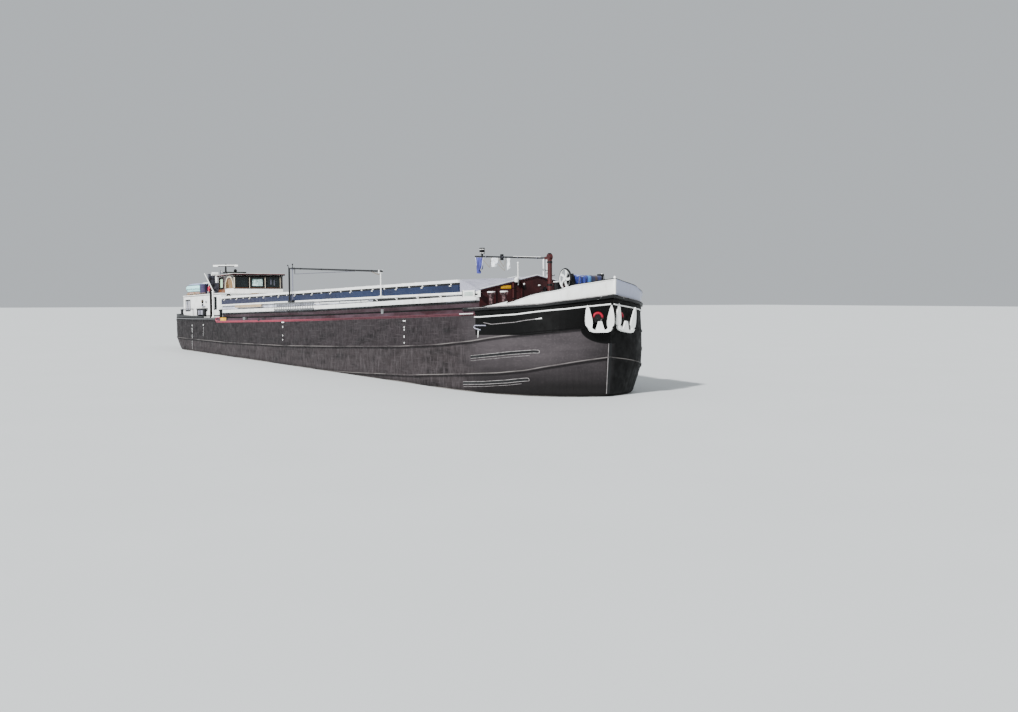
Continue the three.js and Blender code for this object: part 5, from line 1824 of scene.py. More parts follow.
@dataclass
class Foredeck:
    """The foredeck's gear: mast dress, bollard caps and the windlass under its cloths."""

    mast_x: float = 15.99
    windlass_x: float = 17.845
    shaft: float = 3.43
    bollards: tuple[tuple[float, float], ...] = ((16.1, -2.03), (16.6, -1.9))
    post: tuple[float, float] = (17.4, -1.1)

    def mast(self) -> None:
        """The mast's dark bands and head cap, its steps and its small winch."""
        base = (self.mast_x, 0.0, 0.0)
        head = Shape()
        for low in (3.3, 3.96):
            band = [(0.073, low), (0.083, low + 0.005), (0.083, low + 0.055), (0.073, low + 0.06)]
            head.turned(band, base, Axis.Z, DARK)
        cap = [(0.0, 4.232), (0.05, 4.232), (0.06, 4.242), (0.05, 4.255), (0.0, 4.26)]
        head.turned(cap, base, Axis.Z, DARK, 20)
        head.piece("mast_bands")
        steps = Shape()
        rung = ((0.07, 0.0), (0.16, 0.0), (0.165, 0.03))
        for index in range(3):
            for side, lift in ((1.0, 0.0), (-1.0, 0.15)):
                z = 3.0 + 0.3 * index + lift
                steps.tube([(self.mast_x, side * y, z + up) for y, up in rung], 0.01, DARK, 8)
        steps.piece("mast_steps")
        x = self.mast_x - 0.16
        drum = [
            (0.075, -0.09), (0.085, -0.085), (0.085, -0.075), (0.045, -0.065),
            (0.045, 0.065), (0.085, 0.075), (0.085, 0.085), (0.075, 0.09),
        ]
        winch = Shape().turned(drum, (x, 0.0, 3.2), Axis.Y, DARK, 22)
        for y in (-0.1, 0.09):
            winch.box((x - 0.04, y, 3.1), (x + 0.1, y + 0.01, 3.28), DARK)
        crank = [(x, -0.1, 3.2), (x, -0.2, 3.2), (x - 0.02, -0.21, 3.34), (x - 0.02, -0.29, 3.34)]
        winch.tube(crank, 0.012, DARK, 8)
        winch.box((x - 0.03, -0.29, 3.3), (x + 0.03, -0.24, 3.34), WHITE, 0.01)
        winch.piece("mast_winch")

    def bollard_caps(self) -> None:
        """Flat white heads on the fore bollards, and a single post further forward."""
        caps = Shape()
        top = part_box("bollards_fore_starboard")[1][2]
        head = [(0.0, -0.03), (0.1, -0.03), (0.115, -0.02), (0.115, 0.002), (0.1, 0.012), (0.0, 0.014)]
        for x, y in self.bollards:
            caps.turned(head, (x, y, top), Axis.Z, WHITE)
        caps.mirrored().piece("bollard_caps")
        x, y = self.post
        deck = deck_height(x) - 0.005
        profile = [
            (0.13, 0.0), (0.13, 0.02), (0.075, 0.03), (0.07, 0.33),
            (0.095, 0.34), (0.095, 0.37), (0.03, 0.385), (0.0, 0.385),
        ]
        post = Shape().turned(profile, (x, y, deck), Axis.Z, DARK, 22)
        post.tube([(x - 0.16, y, deck + 0.26), (x + 0.16, y, deck + 0.26)], 0.035, WHITE, 12)
        post.mirrored().piece("bow_posts")

    def windlass(self) -> None:
        """Gears, brake levers and the white-topped gear case of the windlass."""
        x, height = self.windlass_x, self.shaft - 0.26
        gear = Shape()
        rim = [(0.06, -0.02), (0.2, -0.02), (0.22, -0.014), (0.22, 0.014), (0.2, 0.02), (0.06, 0.02)]
        for y in (0.35, -0.35):
            gear.turned(rim, (x, y, height), Axis.Y, DARK, 36)
        ring = [(0.148, -0.012), (0.185, -0.008), (0.185, 0.008), (0.148, 0.012)]
        for y in (-0.2, 0.0, 0.2):
            gear.turned(ring, (x, y, height), Axis.Y, DARK, 28)
        for y in (-0.4, 0.4):
            gear.tube([(x + 0.2, y, 3.0), (x + 0.3, y, 3.44), (x + 0.31, y, 3.5)], 0.012, STEEL, 8)
        gear.box((17.16, -0.6, 2.73), (17.34, -0.42, 3.36), DARK, 0.03)
        gear.box((17.14, -0.62, 3.36), (17.36, -0.4, 3.39), WHITE, 0.01)
        gear.piece("windlass_gears", slot="dark_paint")
        knob = [(0.0, -0.03), (0.025, -0.022), (0.033, 0.0), (0.025, 0.022), (0.0, 0.03)]
        Shape().turned(knob, (x, 0.555, 3.57), Axis.Y, WHITE, 16).piece("windlass_knob")

    def cover(self) -> None:
        """The cloths thrown over the windlass shaft, bunched to starboard and flatter to port."""
        rows = []
        first, width, radius = -0.45, 0.94, 0.088
        for step in range(61):
            v = step / 60
            bunch = 0.05 * math.exp(-(((v - 0.22) / 0.2) ** 2)) + 0.03 * math.exp(-(((v - 0.68) / 0.14) ** 2))
            ripple = bunch + 0.009 * math.sin(15.0 * v + 0.6) + 0.005 * math.sin(41.0 * v)
            section = []
            for i in range(29):
                u = i / 28 - 0.5
                turn = max(-math.pi / 2, min(math.pi / 2, u * math.pi * 1.15))
                drop = max(0.0, abs(u) - 0.32) * (0.95 + 0.25 * math.sin(11.0 * v + 2.0 * u))
                out = (radius + ripple) * math.sin(turn)
                lift = (radius + ripple * 0.6) * math.cos(turn)
                fold = 0.02 * math.sin(34.0 * v + 5.0 * u) * max(0.0, abs(u) - 0.2) * 3.0
                x, z = self.windlass_x + out * 1.3 + fold, self.shaft + 0.012 + lift - drop
                section.append((x, first + width * v, z))
            rows.append(section)
        cloth = Shape().ribbon(rows, WINDLASS_CLOTH, closed=False).piece("windlass_cover")

    def build(self) -> None:
        """Build the foredeck's gear."""
        self.mast()
        self.bollard_caps()
        self.windlass()
        self.cover()


@dataclass
class Flag:
    """A cloth gathered on the signal mast's spar."""

    name: str
    start: float
    end: float
    drop: float
    finish: Finish
    folds: float
    hem: bool = False

    def point(self, spar: "SignalMast", u: float, v: float) -> Vector:
        """A point of the cloth.

        Args:
            spar: The spar that it hangs from.
            u: The share of its width.
            v: The share of its drop.

        Returns:
            The point.
        """
        middle = (self.start + self.end) / 2
        narrow = 1.0 - 0.35 * v
        wave = math.sin(2 * math.pi * self.folds * u + 0.8 * v)
        x = middle + (u - 0.5) * (self.end - self.start) * narrow + 0.02 * math.sin(7.0 * v + 3.0 * u)
        y = (0.012 + 0.05 * v) * wave
        drop = self.drop * v * (0.86 + 0.14 * math.cos(2 * math.pi * (u - 0.35)))
        return Vector((x, y, spar.at(x) - 0.032 - drop))

    def build(self, spar: "SignalMast") -> None:
        """Args:
            spar: The spar that it hangs from.
        """
        rows = [[self.point(spar, i / 36, j / 20) for j in range(21)] for i in range(37)]
        cloth = Shape().ribbon(rows, self.finish, closed=False).piece(self.name, spar.body)
        pieces = []
        if self.hem:
            edges = Shape().tube(rows[0], 0.007, FLAG_WHITE, 6).tube(rows[-1], 0.007, FLAG_WHITE, 6)
            pieces = [edges.piece(self.name + "_hem", spar.body)]


@dataclass
class SignalMast:
    """The lowered signal mast's lamp, struts and the cloths gathered on it."""

    pivot: tuple[float, float, float] = (15.84, 0.0, 4.115)
    end: tuple[float, float, float] = (11.45, 0.0, 4.39)
    lamp_place: tuple[float, float, float] = (11.925, 0.0, 4.45)
    body: str = "signal_mast_body"
    flags: tuple[Flag, ...] = (
        Flag("blue_flag", 11.46, 12.0, 0.52, FLAG_BLUE, 2.5, True),
        Flag("long_white_flag", 12.48, 13.0, 0.3, FLAG_WHITE, 3.5),
        Flag("small_white_flag", 13.5, 13.72, 0.38, FLAG_WHITE, 1.5),
    )

    def at(self, x: float) -> float:
        """Height of the spar's middle at a place along the ship."""
        return read_table((self.end[::2], self.pivot[::2]), x)

    def bands(self) -> None:
        """Bands and white tip of the spar, with the white strip along its top."""
        bands = Shape()
        way = (Vector(self.end) - Vector(self.pivot)).normalized()
        for x in (15.3, 14.2, 13.25, 12.2):
            middle = Vector((x, 0.0, self.at(x)))
            bands.tube([middle - way * 0.025, middle + way * 0.025], 0.031, SLATE, 14)
        bands.tube([Vector(self.end) - way * 0.005, Vector(self.end) + way * 0.03], [0.03, 0.012], WHITE, 12)
        start, stop = 13.9, 15.5
        bands.tube([(x, 0.0, self.at(x) + 0.03) for x in (start, stop)], 0.008, WHITE, 8)
        bands.piece("signal_mast_bands", self.body)

    def lamp(self) -> None:
        """The dark lamp with two white rims."""
        profile = [
            (0.0, 0.0), (0.07, 0.0), (0.08, 0.015), (0.08, 0.03), (0.066, 0.035),
            (0.066, 0.12), (0.08, 0.13), (0.078, 0.15), (0.03, 0.185), (0.0, 0.19),
        ]
        lamp = Shape().turned(profile, self.lamp_place, Axis.Z, DARK, 20)
        for low in (0.012, 0.13):
            rim = [(0.08, low), (0.086, low + 0.003), (0.086, low + 0.017), (0.08, low + 0.02)]
            lamp.turned(rim, self.lamp_place, Axis.Z, WHITE, 20)
        lamp.piece("signal_lamp", self.body)

    def struts(self) -> None:
        """The thin struts under the spar."""
        struts = Shape()
        for x0, x1, drop in ((11.85, 12.4, 0.34), (12.95, 13.3, 0.3), (12.5, 13.35, 0.42)):
            x2, low = x1 + 0.12, (x1, 0.0, self.at(x1) - drop)
            struts.tube([(x0, 0.0, self.at(x0) - 0.02), low], 0.006, HEMP, 6)
            struts.tube([low, (x2, 0.0, self.at(x2) - 0.02)], 0.004, HEMP, 6)
        struts.piece("signal_mast_struts", self.body)

    def build(self) -> None:
        """Build the dress of the spar."""
        self.bands()
        self.lamp()
        self.struts()
        for flag in self.flags:
            flag.build(self)


@dataclass
class LoweredMast:
    """Bands, stay and fork of the mast that lies along the starboard coaming."""

    y: float = -2.112
    pivot: tuple[float, float] = (0.04, 4.45)
    end: tuple[float, float] = (8.78, 3.99)
    stay: tuple[float, float] = (0.22, 6.4)
    fork: tuple[float, float] = (7.9, 8.45)
    body: str = "lowered_mast_body"

    def at(self, x: float) -> float:
        """Height of the spar's middle at a place along the ship."""
        return read_table((self.pivot, self.end), x)

    def build(self) -> None:
        """Build the spar's bands and the taut stay under it."""
        bands = Shape()
        slope = (self.end[1] - self.pivot[1]) / (self.end[0] - self.pivot[0])
        way = Vector((1.0, 0.0, slope)).normalized()
        for x in (0.9, 3.2, 5.6, 7.9):
            middle = Vector((x, self.y, self.at(x)))
            bands.tube([middle - way * 0.02, middle + way * 0.02], 0.038, DARK, 14)
        tip = Vector((self.end[0], self.y, self.end[1]))
        bands.tube([tip - Vector((0.01, 0.0, 0.0)), tip + Vector((0.03, 0.0, 0.0))], [0.036, 0.02], DARK, 14)
        bands.piece("lowered_mast_bands", self.body)
        x, stay_end = self.stay
        top = self.at(x)
        line = Shape().tube([(x, self.y, top - 0.02), (x, self.y, top - 0.23)], 0.014, DARK, 8)
        line.tube([(x, self.y, top - 0.22), (stay_end, self.y, self.at(stay_end) - 0.03)], 0.012, SLATE, 8)
        x0, x1 = self.fork
        low = self.at(x1) - 0.11
        for out in (-0.05, 0.05):
            line.tube([(x0, self.y, self.at(x0) - 0.03), (x1, self.y + out, low)], 0.007, HEMP, 6)
        line.tube([(x1, self.y - 0.05, low), (x1, self.y + 0.05, low)], 0.008, HEMP, 6)
        line.piece("lowered_mast_stay", self.body)


@dataclass
class Deckhouse:
    """Windows, side gear, pipes and the gear on the deckhouse roof."""

    half: float = 2.0
    roof: float = 3.722
    windows: tuple[Window, ...] = (
        Window(-16.98, -16.56, 2.95, 3.45), Window(-16.5, -16.08, 2.95, 3.45),
        Window(-11.72, -11.25, 2.98, 3.5),
    )
    curtained: float = -15.0
    aft: float = -17.3
    fore: float = -10.52
    front: float = -10.5
    lamp: tuple[float, float] = (-13.65, 3.36)
    exhaust: tuple[float, float] = (-11.9, -2.09)
    stanchion: tuple[float, float] = (-10.47, -2.4)
    bitt: tuple[float, float] = (-10.15, -2.12)
    ring: tuple[float, float, float] = (-12.7, -1.95, 3.97)
    drum_place: tuple[float, float] = (-14.69, -1.66)

    def window_frames(self) -> None:
        """Window frames with dark caps, and their panes."""
        frames, panes, caps = Shape(), Shape(), Shape()
        for window in self.windows:
            window.frame(frames, -self.half, -0.012, Axis.Y, DARK, 0.04)
            near, far = 0.02 - self.half, 0.026 - self.half
            finish = CURTAIN if window.start < self.curtained else GLASS
            panes.box((window.start, near, window.low), (window.end, far, window.high), finish, 0.0)
            start, end = window.start - 0.03, window.end + 0.03
            for low in (window.low - 0.055, window.high + 0.02):
                caps.box((start, -self.half - 0.02, low), (end, -self.half, low + 0.035), DARK)
        frames.mirrored().piece("house_window_frames")
        panes.mirrored().piece("house_window_panes")
        caps.mirrored().piece("house_window_caps")

    def side_trim(self) -> None:
        """Mouldings, the bench and the handrail on the sides."""
        moulding = Shape()
        moulding.box((self.aft, -self.half - 0.014, 3.655), (self.fore, -self.half, 3.68), MAROON)
        moulding.box((self.aft, -self.half - 0.01, 2.6), (self.fore, -self.half, 2.66), DARK, 0.003)
        moulding.mirrored().piece("house_mouldings")
        bench = Shape()
        bench.box((-14.5, -self.half - 0.13, 2.95), (-12.8, -self.half, 3.02), DARK, 0.008)
        bench.box((-14.3, -self.half - 0.09, 2.69), (-13.5, -self.half, 2.92), GREY, 0.015)
        for x0, x1 in ((-14.46, -14.28), (-13.95, -13.85), (-13.4, -13.05)):
            bench.box((x0, -self.half - 0.11, 2.66), (x1, -self.half, 2.96), DARK, 0.01)
        bench.piece("side_bench", slot="dark_paint")
        y = -self.half - 0.06
        rail = Shape().tube([(-17.6, y, 3.02), (-15.37, y, 3.02), (-15.35, y, 2.6)], 0.014, SLATE)
        for x in (-17.5, -16.4):
            rail.tube([(x, y, 3.02), (x, -self.half, 3.0)], 0.01, SLATE, 8)
        rail.piece("house_side_rail")

    def side_gear(self) -> None:
        """The side lamp on its shelf, a vent on the fore wall and pipe ends along its top."""
        shelf = Shape().box((-13.83, -self.half - 0.1, 3.12), (-13.2, -self.half, 3.145), GREY)
        (x, z), y = self.lamp, -self.half - 0.045
        diamond = [(x - 0.1, z), (x, z - 0.1), (x + 0.1, z), (x, z + 0.1)]
        shelf.slab(diamond, y - 0.03, -self.half, Axis.Y, DARK)
        shelf.box((x - 0.05, y - 0.02, 3.145), (x + 0.05, -self.half, 3.24), DARK, 0.008)
        lens = [(0.0, -0.02), (0.03, -0.018), (0.035, 0.0), (0.02, 0.01)]
        shelf.turned(lens, (x, y - 0.03, z), Axis.Y, BRASS, 14)
        button = [(0.0, -0.05), (0.05, -0.04), (0.06, 0.0)]
        shelf.turned(button, (-13.05, -self.half, 3.33), Axis.Y, SLATE, 16)
        shelf.piece("side_lamp", slot="dark_paint")
        wall = self.front
        centre, place = (wall, -1.63, 3.58), wall + 0.06
        vent = Shape().turned([(0.1, 0.0), (0.105, 0.01), (0.09, 0.035), (0.04, 0.04)], centre, Axis.X, DARK)
        vent.turned([(0.03, 0.038), (0.026, 0.046), (0.0, 0.047)], centre, Axis.X, CREAM, 16)
        swell = [0.015, 0.05, 0.055, 0.03]
        vent.tube([(place, y, 3.66) for y in (-0.6, -0.45, -0.25, -0.1)], swell, OLIVE, 12)
        vent.tube([(place, -0.1, 3.685), (place, 0.72, 3.69)], 0.02, DARK)
        vent.tube([(wall, 0.2, 3.69), (place, 0.2, 3.69)], 0.012, DARK, 8)
        vent.tube([(wall, -0.35, 3.66), (place, -0.35, 3.66)], 0.012, DARK, 8)
        vent.piece("house_front_vent")

    def pipes(self) -> None:
        """The black exhaust pipe beside the wheelhouse and the white stanchion next to it."""
        x, y = self.exhaust
        path = [(x, y, deck_height(x)), (x, y, 3.3), (x, y, 3.84), (x - 0.02, y, 3.9), (x - 0.06, y, 3.93)]
        pipe = Shape().tube(path, 0.062, FASCIA, 14)
        for z in (2.9, 3.5):
            pipe.box((x - 0.06, y, z - 0.012), (x + 0.06, -self.half, z + 0.012), DARK, 0.003)
        pipe.piece("exhaust_pipe")
        x, y = self.stanchion
        profile = [
            (0.1, 0.0), (0.1, 0.012), (0.06, 0.03), (0.036, 0.08), (0.034, 1.2),
            (0.045, 1.215), (0.045, 1.25), (0.03, 1.275), (0.0, 1.28),
        ]
        place = (x, y, deck_height(x) - 0.004)
        Shape().turned(profile, place, Axis.Z, WHITE, 20).piece("side_stanchion")
        x, y = self.bitt
        bitt = [(0.11, 0.0), (0.11, 0.015), (0.07, 0.03), (0.065, 0.3), (0.1, 0.31), (0.1, 0.38), (0.0, 0.4)]
        Shape().turned(bitt, (x, y, deck_height(x) - 0.004), Axis.Z, DARK, 20).mirrored().piece("side_bitts")

    def ring_and_pole(self) -> None:
        """The crimson ring buoy in its holder, and the slanted white pole with its stay."""
        x, y, z = self.ring
        route = [(x + 0.1 * c, y, z + 0.1 * s) for c, s in circle(40)]
        ring = Shape().tube(route, 0.036, CRIMSON, 12, closed=True)
        ring.piece("ring_buoy")
        holder = Shape().tube([(x, y + 0.01, self.roof), (x, y + 0.01, z - 0.12)], 0.012, STEEL, 8)
        holder.tube([(x - 0.06, y, z - 0.1), (x, y, z - 0.125), (x + 0.06, y, z - 0.1)], 0.008, STEEL, 8)
        holder.turned([(0.05, 0.0), (0.05, 0.01), (0.02, 0.02)], (x, y + 0.01, self.roof), Axis.Z, STEEL, 14)
        holder.piece("ring_buoy_holder")
        low, high = Vector((-11.95, -1.9, self.roof)), Vector((-13.66, -1.9, 4.78))
        pole = Shape().tube([low, low.lerp(high, 0.5), high], [0.026, 0.024, 0.016], WHITE, 12)
        pole.turned([(0.06, 0.0), (0.06, 0.012), (0.03, 0.03), (0.0, 0.03)], low, Axis.Z, DARK, 16)
        pole.tube([low.lerp(high, 0.55), (-13.1, -1.9, self.roof)], 0.012, WHITE)
        base = [(0.05, 0.0), (0.05, 0.01), (0.02, 0.02), (0.0, 0.02)]
        pole.turned(base, (-13.1, -1.9, self.roof), Axis.Z, DARK, 14)
        pole.piece("roof_pole")

    def drum(self) -> None:
        """The teal drum, violet on its forward side as painted shade, with a white bar above it."""
        x, y = self.drum_place
        profile = [
            (0.0, 0.0), (0.205, 0.0), (0.216, 0.01), (0.212, 0.03), (0.212, 0.17), (0.22, 0.18),
            (0.212, 0.19), (0.212, 0.36), (0.22, 0.37), (0.212, 0.38), (0.212, 0.53), (0.216, 0.545),
            (0.205, 0.55), (0.0, 0.54),
        ]
        Shape().turned(profile, (x, y, self.roof), Axis.Z, DRUM, 32).piece("roof_drum")
        bar = Shape().box((x - 0.06, y - 0.04, 4.29), (x + 0.88, y + 0.04, 4.345), WHITE, 0.006)
        for end in (0.3, 0.84):
            bar.tube([(x + end, y, self.roof), (x + end, y, 4.29)], 0.014, DARK, 8)
        bar.piece("roof_bar")

    def roof_rail(self) -> None:
        """The low handrail along both roof edges."""
        y, top = self.half - 0.02, self.roof + 0.075
        Shape().tube([(-16.9, -y, top), (-13.3, -y, top)], 0.014, TEAK).mirrored().piece("roof_handrail")
        profile = [(0.022, 0.0), (0.022, 0.006), (0.01, 0.014), (0.009, 0.07)]
        stud = Shape().turned(profile, (0.0, -y, self.roof), Axis.Z, BRASS, 10).mirrored()
        Row("roof_handrail_studs", stud, 8, (-16.8, 0.0, 0.0), (0.49, 0.0, 0.0)).build()

    def build(self) -> None:
        """Build the deckhouse's dress."""
        self.window_frames()
        self.side_trim()
        self.side_gear()
        self.pipes()
        self.ring_and_pole()
        self.drum()
        self.roof_rail()


@dataclass
class Wheelhouse:
    """Window frames, panels, roof edge and radar gear of the wheelhouse."""

    fore: float = -10.9
    aft: float = -13.46
    half: float = 1.245
    foot: float = 3.7224
    sill: float = 4.01
    head: float = 4.515
    top: float = 4.59
    front_windows: tuple[float, ...] = (-0.845, -0.06, 0.735)
    window_half: float = 0.343
    arch_middle: tuple[float, float] = (-11.62, 3.98)
    arch_reach: tuple[float, float] = (0.7, 0.6)
    band: tuple[float, float] = (0.07, 0.06)
    door_face: float = 1.2412
    # The radar tray's two ends along the ship, its two sides and its height
    tray: tuple[float, float, float, float, float] = (-13.25, -12.5, -1.15, -0.1, 4.8)
    scanner: tuple[float, float, float] = (-12.8, -1.06, 5.046)
    dome: tuple[float, float, float] = (-12.8, -0.57, 4.8)

    def frames(self) -> None:
        """Window frames: dark in front with cream strips between them, brown aft, dark posts on the sides."""
        front, edges = Shape(), Shape()
        for y in self.front_windows:
            y0, y1 = y - self.window_half, y + self.window_half
            Window(y0, y1, self.sill, self.head).frame(front, self.fore, 0.014, Axis.X, FASCIA, 0.04)
            edges.box((self.fore, y0, 3.963), (self.fore + 0.02, y1, 3.985), TEAK)
        for y, half in ((-1.215, 0.026), (-0.4525, 0.012), (0.3375, 0.012), (1.11, 0.01)):
            edges.box((self.fore, y - half, 3.96), (self.fore + 0.022, y + half, 4.5), CREAM, 0.003)
        for y in (-0.6, 0.6):
            window = Window(y - 0.42, y + 0.42, self.sill, self.head)
            window.frame(front, self.aft, -0.02, Axis.X, TEAK, 0.05)
        front.piece("wheelhouse_end_frames", slot="varnish")
        edges.piece("wheelhouse_frame_edges", slot="white_paint")
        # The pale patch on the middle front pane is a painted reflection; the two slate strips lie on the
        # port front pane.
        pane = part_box("glass_front")[1][0]
        glass_overlays = Shape().box((pane, -0.3, 4.08), (pane + 0.003, 0.22, 4.42), PAINTED_PANE_REFLECTION, 0.0)
        for y0, y1, low, high in ((0.62, 0.68, 4.15, 4.42), (0.8, 0.84, 4.1, 4.4)):
            glass_overlays.box((pane, y0, low), (pane + 0.003, y1, high), SLATE, 0.0)
        glass_overlays.piece("front_window_films", slot="glass")
        sides, pane = Shape(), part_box("glass_starboard")[0][1]
        Window(-13.33, -12.7, self.sill, self.head).frame(sides, -self.half, -0.02, Axis.Y, FASCIA, 0.05)
        sides.mirrored().piece("wheelhouse_side_frames", slot="varnish")
        # The mint patch on each side pane is a painted reflection.
        glass_patch = Shape().box((-13.26, pane - 0.003, 4.05), (-12.78, pane, 4.46), PAINTED_MINT_REFLECTION, 0.0)
        glass_patch.mirrored().piece("side_window_films")

    def walls(self) -> None:
        """White front down to the roof, dark lines over and under its windows, boards at the aft foot."""
        fore, aft = self.fore, self.aft
        y = self.half + 0.004
        front = Shape().box((fore, -y, self.foot), (fore + 0.012, y, 3.935), WHITE, 0.003)
        front.piece("wheelhouse_front_panel")
        trim, y = Shape(), self.half + 0.012
        for low, high in ((3.937, 3.96), (4.55, 4.59)):
            trim.box((fore, -y, low), (fore + 0.022, y, high), FASCIA)
        trim.piece("wheelhouse_front_lines", slot="dark_paint")
        y = self.half + 0.016
        foot = Shape().box((aft - 0.016, -y, self.foot), (aft, y, self.foot + 0.07), TEAK)
        for near, far in ((-y, -self.half), (self.half, y)):
            foot.box((aft, near, self.foot), (-12.42, far, self.foot + 0.2), TEAK)
        foot.piece("wheelhouse_foot")

    def roof(self) -> None:
        """The roof's edge: a dark fascia, a pinkish bead and a pale upper edge."""
        x0, x1, y1 = self.aft - 0.09, self.fore + 0.1, self.half + 0.07
        for name, low, high, out, finish in (
            ("roof_fascia", self.top + 0.001, self.top + 0.068, 0.014, FASCIA),
            ("roof_bead", self.top + 0.068, self.top + 0.079, 0.012, SALMON),
            ("roof_pale_edge", self.top + 0.079, self.top + 0.1, 0.008, PANEL_GREEN),
        ):
            trim = Shape()
            trim.box((x1, -y1 - out, low), (x1 + out, y1 + out, high), finish, 0.003)
            trim.box((x0 - out, -y1 - out, low), (x0, y1 + out, high), finish, 0.003)
            for side in (-1.0, 1.0):
                near, far = sorted((side * y1, side * (y1 + out)))
                trim.box((x0, near, low), (x1, far, high), finish, 0.003)
            trim.piece("wheelhouse_" + name)

    def arch(self, inset: Point, start: float, end: float) -> list[tuple[float, float]]:
        """Points on the arch over the door, inset across and upwards, between two bearings in degrees."""
        wide, tall = (reach - less for reach, less in zip(self.arch_reach, inset))
        return arc(self.arch_middle, wide, tall, start, end, 24)

    def arch_band(self, outer: Point, inner: Point) -> list[tuple[float, float]]:
        """Part of the arch's band, from the bearings where its outer and inner edges start and end."""
        return [*self.arch((0.0, 0.0), *outer), *reversed(self.arch(self.band, *inner))]

    def arch_panel(self) -> None:
        """The cream arch and tan panels round the starboard door, the same to port, split where it swings."""
        wall, spring = -self.half, self.arch_middle[1]
        parts = Shape()
        for outer, inner in (((0.0, 43.8), (0.0, 36.7)), ((53.0, 180.0), (62.5, 180.0))):
            parts.slab(self.arch_band(outer, inner), wall - 0.02, wall - 0.002, Axis.Y, CREAM)
        start, end = -12.22, -11.935
        top = [(x, z) for x, z in self.arch(self.band, 0.0, 180.0) if start < x < end]
        edge = [(end, spring), (end, top[0][1]), *top, (start, top[-1][1]), (start, spring)]
        parts.slab(edge, wall - 0.01, wall - 0.001, Axis.Y, OLIVE)
        parts.box((-12.1, wall - 0.014, spring), (-12.0, wall, 4.3), FASCIA, 0.003)
        parts.mirrored().piece("door_arch_panels", slot="white_paint")
        for name, side in (("starboard", -1.0), ("port", 1.0)):
            near, far = sorted((side * self.door_face, side * 1.249))
            door = Shape().box((-11.84, near, spring), (-11.18, far, 4.4), OLIVE)
            near, far = sorted((side * self.door_face, side * 1.265))
            door.slab(self.arch_band((48.3, 51.4), (42.3, 60.3)), near, far, Axis.Y, CREAM)
            door.piece(f"door_field_{name}", f"wheelhouse_door_{name}_body")

    def radar_gear(self) -> None:
        """The tray's rim, the scanner's knob, a dark dome and small struts round them."""
        x0, x1, y0, y1, z = self.tray
        tray = Shape()
        for a, b, c, d in (
            (x0, x1, y0, y0 + 0.012), (x0, x1, y1 - 0.012, y1),
            (x0, x0 + 0.012, y0, y1), (x1 - 0.012, x1, y0, y1),
        ):
            tray.box((a, c, z), (b, d, z + 0.03), FASCIA, 0.003)
        tray.box((x0 + 0.02, y0 + 0.02, z), (x1 - 0.02, y1 - 0.02, z + 0.012), FASCIA, 0.002)
        tray.box((x1 - 0.03, y0 + 0.1, 4.7), (x1 - 0.01, y1 - 0.15, z - 0.005), PANEL_GREEN, 0.003)
        tray.piece("radar_tray_rim")
        dome = Shape().turned([(0.07, 0.0), (0.075, 0.015), (0.06, 0.03)], self.dome, Axis.Z, SLATE, 22)
        dome.turned(arc((0.0, 0.1), 0.085, 0.085, -90.0, 90.0, 12), self.dome, Axis.Z, DARK, 22)
        dome.piece("dome_lamp", slot="dark_paint")
        struts = Shape()
        for x, y, high in ((-13.2, -1.2, 4.95), (-13.05, -1.27, 4.9), (-12.9, -1.2, 4.86)):
            struts.tube([(x, y, 4.69), (x, y, high)], 0.012, SLATE, 8)
            struts.turned([(0.03, 0.0), (0.03, 0.01), (0.012, 0.02)], (x, y, 4.695), Axis.Z, SLATE, 12)
        struts.tube([(-13.2, -1.2, 4.9), (-12.9, -1.2, 4.78)], 0.01, WHITE, 8)
        struts.piece("roof_struts")
        profile = [(0.035, 0.138), (0.035, 0.165), (0.02, 0.19), (0.0, 0.192)]
        knob = Shape().turned(profile, self.scanner, Axis.Z, BLACK, 14)
        knob.piece("scanner_knob", "radar_scanner_body")

    def build(self) -> None:
        """Build the wheelhouse's dress."""
        self.frames()
        self.walls()
        self.roof()
        self.arch_panel()
        self.radar_gear()


